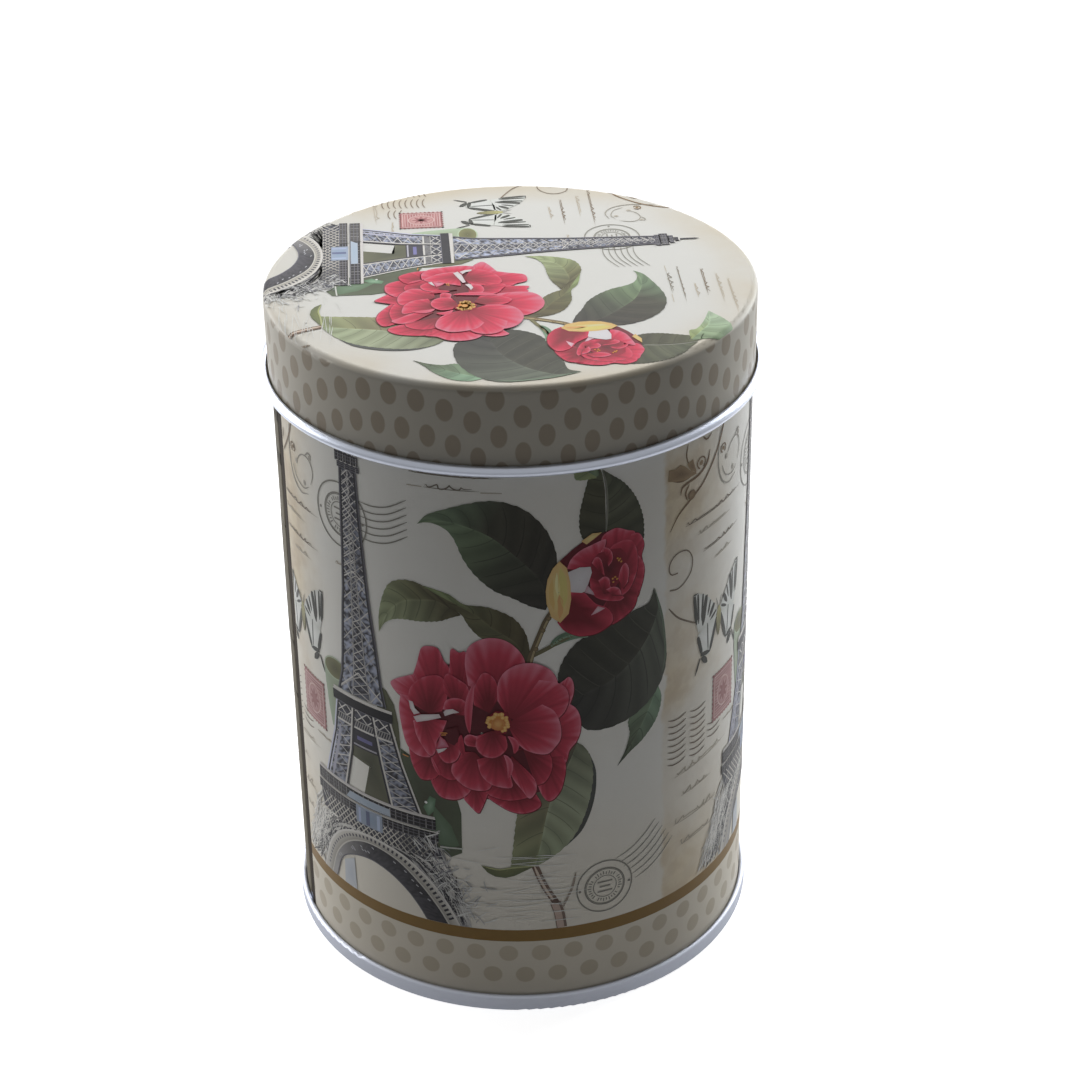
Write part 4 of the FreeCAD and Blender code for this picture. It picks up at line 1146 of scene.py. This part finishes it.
def ink_piece(name, ink, material, body, panel=None):
    """One printed motif as a mesh on the wall (with a panel number) or on the lid."""
    points = np.vstack(ink.points)
    layers = np.concatenate(ink.layers)
    colours = np.vstack(ink.colours)
    faces = np.vstack(ink.faces)
    if panel is None:
        points, faces = lid_trim(points, faces)
    else:
        points, faces = seam_trim(points, faces, panel)
    faces = face_up(points, faces)
    if len(faces) == 0:
        return
    used, index = np.unique(faces, return_inverse=True)
    faces = index.reshape(faces.shape)
    points, layers, colours = points[used], layers[used], colours[used]
    place = on_lid(points, layers) if panel is None else on_wall(points, layers, panel)
    mesh = bpy.data.meshes.new(name)
    mesh.from_pydata((place * MM).tolist(), [], faces.tolist())
    attribute = mesh.color_attributes.new("ink", "FLOAT_COLOR", "POINT")
    rgba = np.ones((len(points), 4), np.float32)
    rgba[:, :3] = colours
    attribute.data.foreach_set("color", rgba.ravel())
    mesh.shade_smooth()
    mesh.materials.append(material)
    piece = bpy.data.objects.new(name, mesh)
    bpy.context.scene.collection.objects.link(piece)
    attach(piece, body)


# ---- materials ----------------------------------------------------------------------------

class Graph:
    """A short way to build a material's node graph."""

    def __init__(self, name):
        self.material = bpy.data.materials.new(name)
        self.material.use_nodes = True
        self.tree = self.material.node_tree
        self.shader = self.tree.nodes["Principled BSDF"]
        self.place = self.node("ShaderNodeTexCoord").outputs["Object"]

    def node(self, kind, **settings):
        made = self.tree.nodes.new(kind)
        for key, value in settings.items():
            setattr(made, key, value)
        return made

    def put(self, socket, value):
        if isinstance(value, bpy.types.NodeSocket):
            self.tree.links.new(value, socket)
        elif isinstance(value, (int, float)):
            socket.default_value = value
        else:
            value = [float(x) for x in value]
            socket.default_value = value + [1.0] * (len(socket.default_value) - len(value))

    def math(self, operation, *values):
        made = self.node("ShaderNodeMath", operation=operation)
        for socket, value in zip(made.inputs, values):
            self.put(socket, value)
        return made.outputs[0]

    def times(self, first, second):
        return self.math("MULTIPLY", first, second)

    def plus(self, first, second):
        return self.math("ADD", first, second)

    def minus(self, first, second):
        return self.math("SUBTRACT", first, second)

    def step(self, value, edge, soft):
        """0 below the edge and 1 above it, over a soft width."""
        made = self.node("ShaderNodeMapRange", interpolation_type="SMOOTHSTEP")
        self.put(made.inputs["Value"], value)
        self.put(made.inputs["From Min"], edge - soft)
        self.put(made.inputs["From Max"], edge + soft)
        return made.outputs["Result"]

    def mix(self, share, first, second, blend_type="MIX"):
        made = self.node("ShaderNodeMix", data_type="RGBA", blend_type=blend_type)
        self.put(made.inputs["Factor"], share)
        self.put(made.inputs["A"], first)
        self.put(made.inputs["B"], second)
        return made.outputs["Result"]

    def noise(self, scale, detail=3.0, stretch=(1, 1, 1)):
        """A noise value over the object's own coordinates; scale is per metre."""
        spread = self.node("ShaderNodeMapping")
        self.put(spread.inputs["Vector"], self.place)
        spread.inputs["Scale"].default_value = stretch
        made = self.node("ShaderNodeTexNoise")
        self.put(made.inputs["Vector"], spread.outputs["Vector"])
        self.put(made.inputs["Scale"], scale)
        self.put(made.inputs["Detail"], detail)
        return made.outputs["Fac"]

    def axes(self):
        """The object's x, y and z in millimetres."""
        made = self.node("ShaderNodeSeparateXYZ")
        self.put(made.inputs[0], self.place)
        return [self.times(socket, 1 / MM) for socket in made.outputs]

    def bump(self, height, distance, strength=1.0):
        made = self.node("ShaderNodeBump")
        self.put(made.inputs["Height"], height)
        self.put(made.inputs["Distance"], distance)
        self.put(made.inputs["Strength"], strength)
        self.tree.links.new(made.outputs["Normal"], self.shader.inputs["Normal"])

    def finish(self, colour, roughness, metallic=0.0, coat=0.0, coat_roughness=0.3):
        self.put(self.shader.inputs["Base Color"], colour)
        self.put(self.shader.inputs["Roughness"], roughness)
        self.put(self.shader.inputs["Metallic"], metallic)
        self.put(self.shader.inputs["Coat Weight"], coat)
        self.put(self.shader.inputs["Coat Roughness"], coat_roughness)
        return self.material


def grain(graph, colour):
    """Fine press grain over a printed colour, and the roughness that goes with it."""
    speck = graph.noise(2600, 2.0)
    cloud = graph.noise(260, 4.0)
    share = graph.plus(graph.times(speck, 0.10), graph.times(cloud, 0.07))
    darker = graph.mix(1.0, colour, (0.80, 0.80, 0.81, 1.0), "MULTIPLY")
    return graph.mix(graph.times(share, 1.6), colour, darker)


def printed_finish(graph, colour, gloss=0.2):
    """Lacquered print: satin, with a very slight orange peel."""
    rough = graph.plus(0.36, graph.times(graph.noise(900, 2.0), 0.12))
    graph.bump(graph.noise(1400, 2.0), 0.00002, 0.35)
    graph.shader.inputs["Specular IOR Level"].default_value = gloss
    return graph.finish(grain(graph, colour), rough, coat=0.02, coat_roughness=0.28)


def ink_material(name, gloss):
    """Printed ink in the colours stored with the mesh."""
    graph = Graph(name)
    colour = graph.node("ShaderNodeVertexColor", layer_name="ink").outputs["Color"]
    return printed_finish(graph, colour, gloss)


def dot_mask(graph, across, up, pitch, rows, size):
    """Round dots on a grid with every other row moved by half a pitch. rows is the row spacing."""
    nearest = None
    for shift in (0.0, 0.5):
        u = graph.math("WRAP", graph.plus(across, shift * pitch), -pitch / 2, pitch / 2)
        v = graph.math("WRAP", graph.plus(up, shift * 2 * rows), -rows, rows)
        reach = graph.math("SQRT", graph.plus(graph.times(u, u), graph.times(v, v)))
        nearest = reach if nearest is None else graph.math("MINIMUM", nearest, reach)
    return graph.minus(1.0, graph.step(nearest, size, 0.12))


def wall_material():
    """The wall's print: aged cream ground, brown line, dotted band and the bare strip at the seam."""
    graph = Graph("printed_wall")
    x, y, z = graph.axes()
    angle = graph.math("ARCTAN2", y, x)
    around = graph.times(graph.minus(angle, FRONT), WALL)
    far = graph.math("WRAP", around, -PANEL / 2 + 8, PANEL / 2 + 8)
    ragged = graph.plus(far, graph.times(graph.minus(graph.noise(320, 4.0), 0.5), 2.4))
    letter = graph.times(graph.step(ragged, LETTER_LEFT, 0.5),
                         graph.minus(1.0, graph.step(ragged, LETTER_RIGHT, 7.0)))
    mottle = graph.step(graph.noise(330, 5.0), 0.5, 0.12)
    cloud = graph.noise(38, 5.0)
    blotch = graph.step(cloud, 0.56, 0.16)
    aged = graph.times(graph.plus(graph.times(letter, 0.75), 0.12), blotch)
    foot = graph.times(graph.minus(1.0, graph.step(z, 34.0, 16.0)), 0.30)
    ground = graph.mix(graph.plus(aged, graph.times(letter, 0.25)), CREAM, AGED)
    stain = graph.times(graph.times(letter, mottle), graph.plus(0.18, blotch))
    ground = graph.mix(graph.times(stain, 0.4), ground, STAIN)
    ground = graph.mix(foot, ground, AGED)
    dots = dot_mask(graph, around, graph.minus(z, DOT_ROWS[0]), DOT_PITCH,
                    DOT_ROWS[1] - DOT_ROWS[0], DOT_RADIUS)
    dots = graph.times(dots, graph.step(z, DOT_ROWS[0] - 2.1, 0.2))
    band = graph.mix(dots, DOT_GROUND, DOT_INK)
    colour = graph.mix(graph.step(z, LINE_LOW, 0.06), band, BROWN_LINE)
    colour = graph.mix(graph.step(z, LINE_HIGH, 0.06), colour, ground)
    return printed_finish(graph, colour)


def lid_material():
    """The lid's print: cream top that ages towards its edge, and dots stretched down the skirt."""
    graph = Graph("printed_lid")
    x, y, z = graph.axes()
    reach = graph.math("SQRT", graph.plus(graph.times(x, x), graph.times(y, y)))
    drop = graph.minus(LID_TOP - LID_EDGE, z)
    flat = graph.plus(LID_SKIRT, graph.times(drop, 1 / LID_DOT_STRETCH))
    share = graph.math("DIVIDE", flat, reach)
    along, up = graph.times(x, share), graph.times(y, share)
    cosine, sine = math.cos(LID_DOT_TURN), math.sin(LID_DOT_TURN)
    across = graph.plus(graph.times(along, cosine), graph.times(up, sine))
    over = graph.minus(graph.times(up, cosine), graph.times(along, sine))
    dots = dot_mask(graph, across, over, LID_DOT_PITCH, LID_DOT_PITCH * math.sqrt(3) / 2, LID_DOT_RADIUS)
    skirt = graph.mix(dots, srgb(194, 189, 177), srgb(166, 155, 139))
    cloud = graph.step(graph.noise(45, 5.0), 0.52, 0.2)
    rim = graph.times(graph.step(reach, 33.0, 5.0), graph.plus(0.25, cloud))
    top = graph.mix(graph.times(rim, 0.7), CREAM, AGED)
    colour = graph.mix(graph.step(z, LID_DOT_START, 0.2), skirt, top)
    return printed_finish(graph, colour, 0.14)


def bare_material(name, tint, rough):
    """Unprinted tinplate: satin white metal with fine rolling lines and faint stains."""
    graph = Graph(name)
    lines = graph.noise(700, 4.0, (1, 1, 14))
    cloud = graph.noise(90, 4.0)
    colour = graph.mix(graph.times(cloud, 0.30), tint, tint * 0.72)
    colour = graph.mix(graph.times(lines, 0.16), colour, tint * 0.6)
    roughness = graph.plus(rough, graph.times(lines, 0.14))
    graph.bump(lines, 0.00002, 0.25)
    return graph.finish(colour, roughness, metallic=1.0)


def strip_material():
    """Beside the lock seam: grey lacquer with fine dark crossing marks.

    In front of the groove lies a margin of painted groove shade, dark brown, with a painted highlight along
    its edge where the fold rounds over.
    """
    graph = Graph("bare_strip_painted_groove_shade")
    x, y, _ = graph.axes()
    ahead = graph.times(graph.minus(graph.math("ARCTAN2", y, x), math.radians(SEAM_GROOVE)), WALL)
    tick = graph.noise(420, 1.0, (0.02, 0.02, 1))
    marks = graph.step(tick, 0.66, 0.03)
    cloud = graph.noise(160, 4.0, (1, 1, 0.3))
    colour = graph.mix(cloud, srgb(104, 98, 86), srgb(128, 122, 108))
    colour = graph.mix(graph.times(marks, 0.75), colour, srgb(46, 40, 33))
    # painted shade: the groove's darkness laid as dark brown over the groove and the margin in front of it
    brown = graph.mix(cloud, srgb(44, 38, 32), srgb(70, 61, 52))
    colour = graph.mix(graph.step(ahead, -0.6, 0.1), colour, brown)
    # painted highlight: a pale line at the margin's edge, where the fold's rounded edge catches the light
    colour = graph.mix(graph.step(ahead, SEAM_PAINTED_SHADE - 0.25, 0.08), colour, srgb(196, 190, 176))
    graph.shader.inputs["Specular IOR Level"].default_value = 0.03
    return graph.finish(colour, graph.plus(0.5, graph.times(cloud, 0.1)))


def assign(name, materials, choose):
    """Gives a CAD node its materials; choose(radius, height, angle) picks one for each face."""
    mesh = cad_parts[name].data
    mesh.materials.clear()
    for material in materials:
        mesh.materials.append(material)
    centres = np.empty(len(mesh.polygons) * 3, np.float32)
    mesh.polygons.foreach_get("center", centres)
    centres = centres.reshape(-1, 3) / MM
    radius = np.hypot(centres[:, 0], centres[:, 1])
    angle = np.degrees(np.arctan2(centres[:, 1], centres[:, 0]))
    mesh.polygons.foreach_set("material_index", choose(radius, centres[:, 2], angle).astype(np.int32))
    mesh.update()


def wall_faces(radius, height, angle):
    """0 for print, 1 for the inside and the folded edges, 2 for the bare strip and the painted groove shade
    by the groove.
    """
    upright = (height > SEAM_TOP - 0.4) & (height < WALL_TOP - 0.75)
    outside = radius > WALL - 0.20
    behind = (SEAM_GROOVE - angle) * math.pi / 180 * WALL
    groove = (np.abs(behind) < 0.7) & (radius > WALL - 0.75)
    strip = (behind > -SEAM_PAINTED_SHADE) & (behind < SEAM_BARE + 0.8) & outside | groove
    return np.where(upright & (outside | groove), np.where(strip, 2, 0), 1)


def lid_faces(radius, height, angle):
    """0 for print, 1 for the inside of the lid and the outside of its curl."""
    from_edge = np.hypot(np.maximum(radius - LID_FLAT, 0), height - LID_TOP + LID_EDGE)
    inside = np.where(height > LID_TOP - LID_EDGE, from_edge < LID_EDGE - SHEET / 2,
                      radius < LID_SKIRT - SHEET / 2)
    round_curl = np.hypot(radius - CURL_CENTRE[0], height - CURL_CENTRE[1]) > CURL_RADIUS - SHEET / 2
    near_curl = (radius > LID_SKIRT + 0.1) | (height < CURL_CENTRE[1])
    curl = round_curl & near_curl & (height < LID_FOOT + 2 * CURL_RADIUS + 0.02)
    return np.where(inside | curl, 1, 0)


# ---- stage, light and camera --------------------------------------------------------------

def make_floor():
    """A plain white table, lit from within like a light table so that it stays white in shade.

    It glows for the camera, less in reflections except behind the tin, and bounces light near the tin only.
    """
    half = 1.6
    corners = [(-half, -half, 0), (half, -half, 0), (half, half, 0), (-half, half, 0)]
    mesh = bpy.data.meshes.new("floor")
    mesh.from_pydata(corners, [], [(0, 1, 2, 3)])
    graph = Graph("floor_white")
    x, y, _ = graph.axes()
    reach = graph.math("SQRT", graph.plus(graph.times(x, x), graph.times(y, y)))
    near = graph.minus(1.0, graph.step(reach, 200, 60))
    rays = graph.node("ShaderNodeLightPath").outputs
    mirror = graph.plus(0.20, graph.times(graph.step(y, 80, 50), 0.7))
    glow = graph.plus(graph.times(rays["Is Camera Ray"], 0.86), graph.times(rays["Is Glossy Ray"], mirror))
    graph.put(graph.shader.inputs["Emission Color"], (1.0, 1.0, 1.0))
    graph.put(graph.shader.inputs["Emission Strength"], glow)
    graph.finish(graph.mix(near, (0.15, 0.15, 0.15), (0.66, 0.66, 0.67)), 0.8)
    mesh.materials.append(graph.material)
    floor = bpy.data.objects.new("floor", mesh)
    floor.location.z = -0.00002
    bpy.context.scene.collection.objects.link(floor)


def softbox(name, place, target, size, power, tint=(1.0, 1.0, 1.0)):
    """A rectangular area light that points at a target."""
    data = bpy.data.lights.new(name, "AREA")
    data.shape = "RECTANGLE"
    data.size, data.size_y = size
    data.energy = power
    data.color = tint
    light = bpy.data.objects.new(name, data)
    light.location = place
    light.rotation_euler = (Vector(target) - Vector(place)).to_track_quat("-Z", "Y").to_euler()
    bpy.context.scene.collection.objects.link(light)


def make_world(fill, mirror):
    """White all round: full for the camera, dimmer in reflections and dimmest as fill light."""
    world = bpy.data.worlds.new("studio")
    bpy.context.scene.world = world
    world.use_nodes = True
    tree = world.node_tree
    rays = tree.nodes.new("ShaderNodeLightPath").outputs
    level = rays["Is Camera Ray"]
    for ray, strength in (("Is Glossy Ray", mirror), ("Is Diffuse Ray", fill)):
        add = tree.nodes.new("ShaderNodeMath")
        add.operation = "MULTIPLY_ADD"
        tree.links.new(rays[ray], add.inputs[0])
        add.inputs[1].default_value = strength
        tree.links.new(level, add.inputs[2])
        level = add.outputs[0]
    background = tree.nodes["Background"]
    background.inputs["Color"].default_value = (1, 1, 1, 1)
    tree.links.new(level, background.inputs["Strength"])


def make_camera():
    """A long lens 0.42 m from the tin's middle, looking down on it by thirty degrees."""
    place = (0.0, -0.36356, 0.27462)
    data = bpy.data.cameras.new("camera")
    data.sensor_width = 36.0
    data.lens = 86.15
    pitch, yaw, roll = math.radians(29.866), math.radians(0.614), math.radians(-0.938)
    forward = Vector((math.sin(yaw) * math.cos(pitch), math.cos(yaw) * math.cos(pitch), -math.sin(pitch)))
    level = forward.cross(Vector((0, 0, 1))).normalized()
    upright = level.cross(forward)
    right = level * math.cos(roll) + upright * math.sin(roll)
    up = upright * math.cos(roll) - level * math.sin(roll)
    turn = Matrix((right, up, -forward)).transposed().to_4x4()
    camera = bpy.data.objects.new("camera", data)
    camera.matrix_world = Matrix.Translation(place) @ turn
    bpy.context.scene.collection.objects.link(camera)
    bpy.context.scene.camera = camera


# ---- build --------------------------------------------------------------------------------

bare = bare_material("bare_tinplate", srgb(220, 226, 240), 0.28)
base = bare_material("base_tinplate", srgb(212, 216, 227), 0.54)
assign("body_wall", [wall_material(), bare, strip_material()], wall_faces)
assign("lid", [lid_material(), bare], lid_faces)
assign("base_end", [base], lambda radius, height, angle: np.zeros(len(radius)))

wall_ink = ink_material("wall_ink", 0.2)
lid_ink = ink_material("lid_ink", 0.1)
motifs = {
    "rules": make_rules(),
    "scrolls": make_scrolls(),
    "postmarks": make_postmarks(),
    "stamp": make_stamp(),
    "butterfly": make_butterfly(),
    "leaves": make_leaves(),
    "tower": make_tower(),
    "bud": make_bud(),
    "flower": make_flower(),
}
for motif, ink in motifs.items():
    for panel in range(3):
        ink_piece(f"wall_{motif}_{panel + 1}", ink, wall_ink, "tin", panel)
    for panel, shift in (("a", 0), ("b", -PANEL)):
        if (motif, panel) == ("scrolls", "a"):
            continue              # only the ends of its strokes would reach the lid's edge
        moved = Ink()
        moved.points = [points + [shift, 0] for points in ink.points]
        moved.colours = [richer(colours) for colours in ink.colours]
        moved.layers, moved.faces = ink.layers, ink.faces
        ink_piece(f"lid_{motif}_{panel}", moved, lid_ink, "lid")

make_floor()
make_world(fill=0.13, mirror=0.44)
softbox("top_light", (0.0, 0.60, 0.60), (0, 0, 0.08), (0.8, 0.4), 4.75)
softbox("right_light", (0.54, 0.45, 0.25), (0, 0, 0.06), (0.3, 0.5), 4.4, (0.95, 0.98, 1.0))
softbox("left_light", (-0.54, 0.45, 0.25), (0, 0, 0.06), (0.3, 0.5), 2.7)
softbox("side_light", (-0.68, 0.18, 0.20), (0, 0, 0.05), (0.3, 0.4), 1.2)
make_camera()
bpy.context.scene.view_settings.view_transform = "Standard"
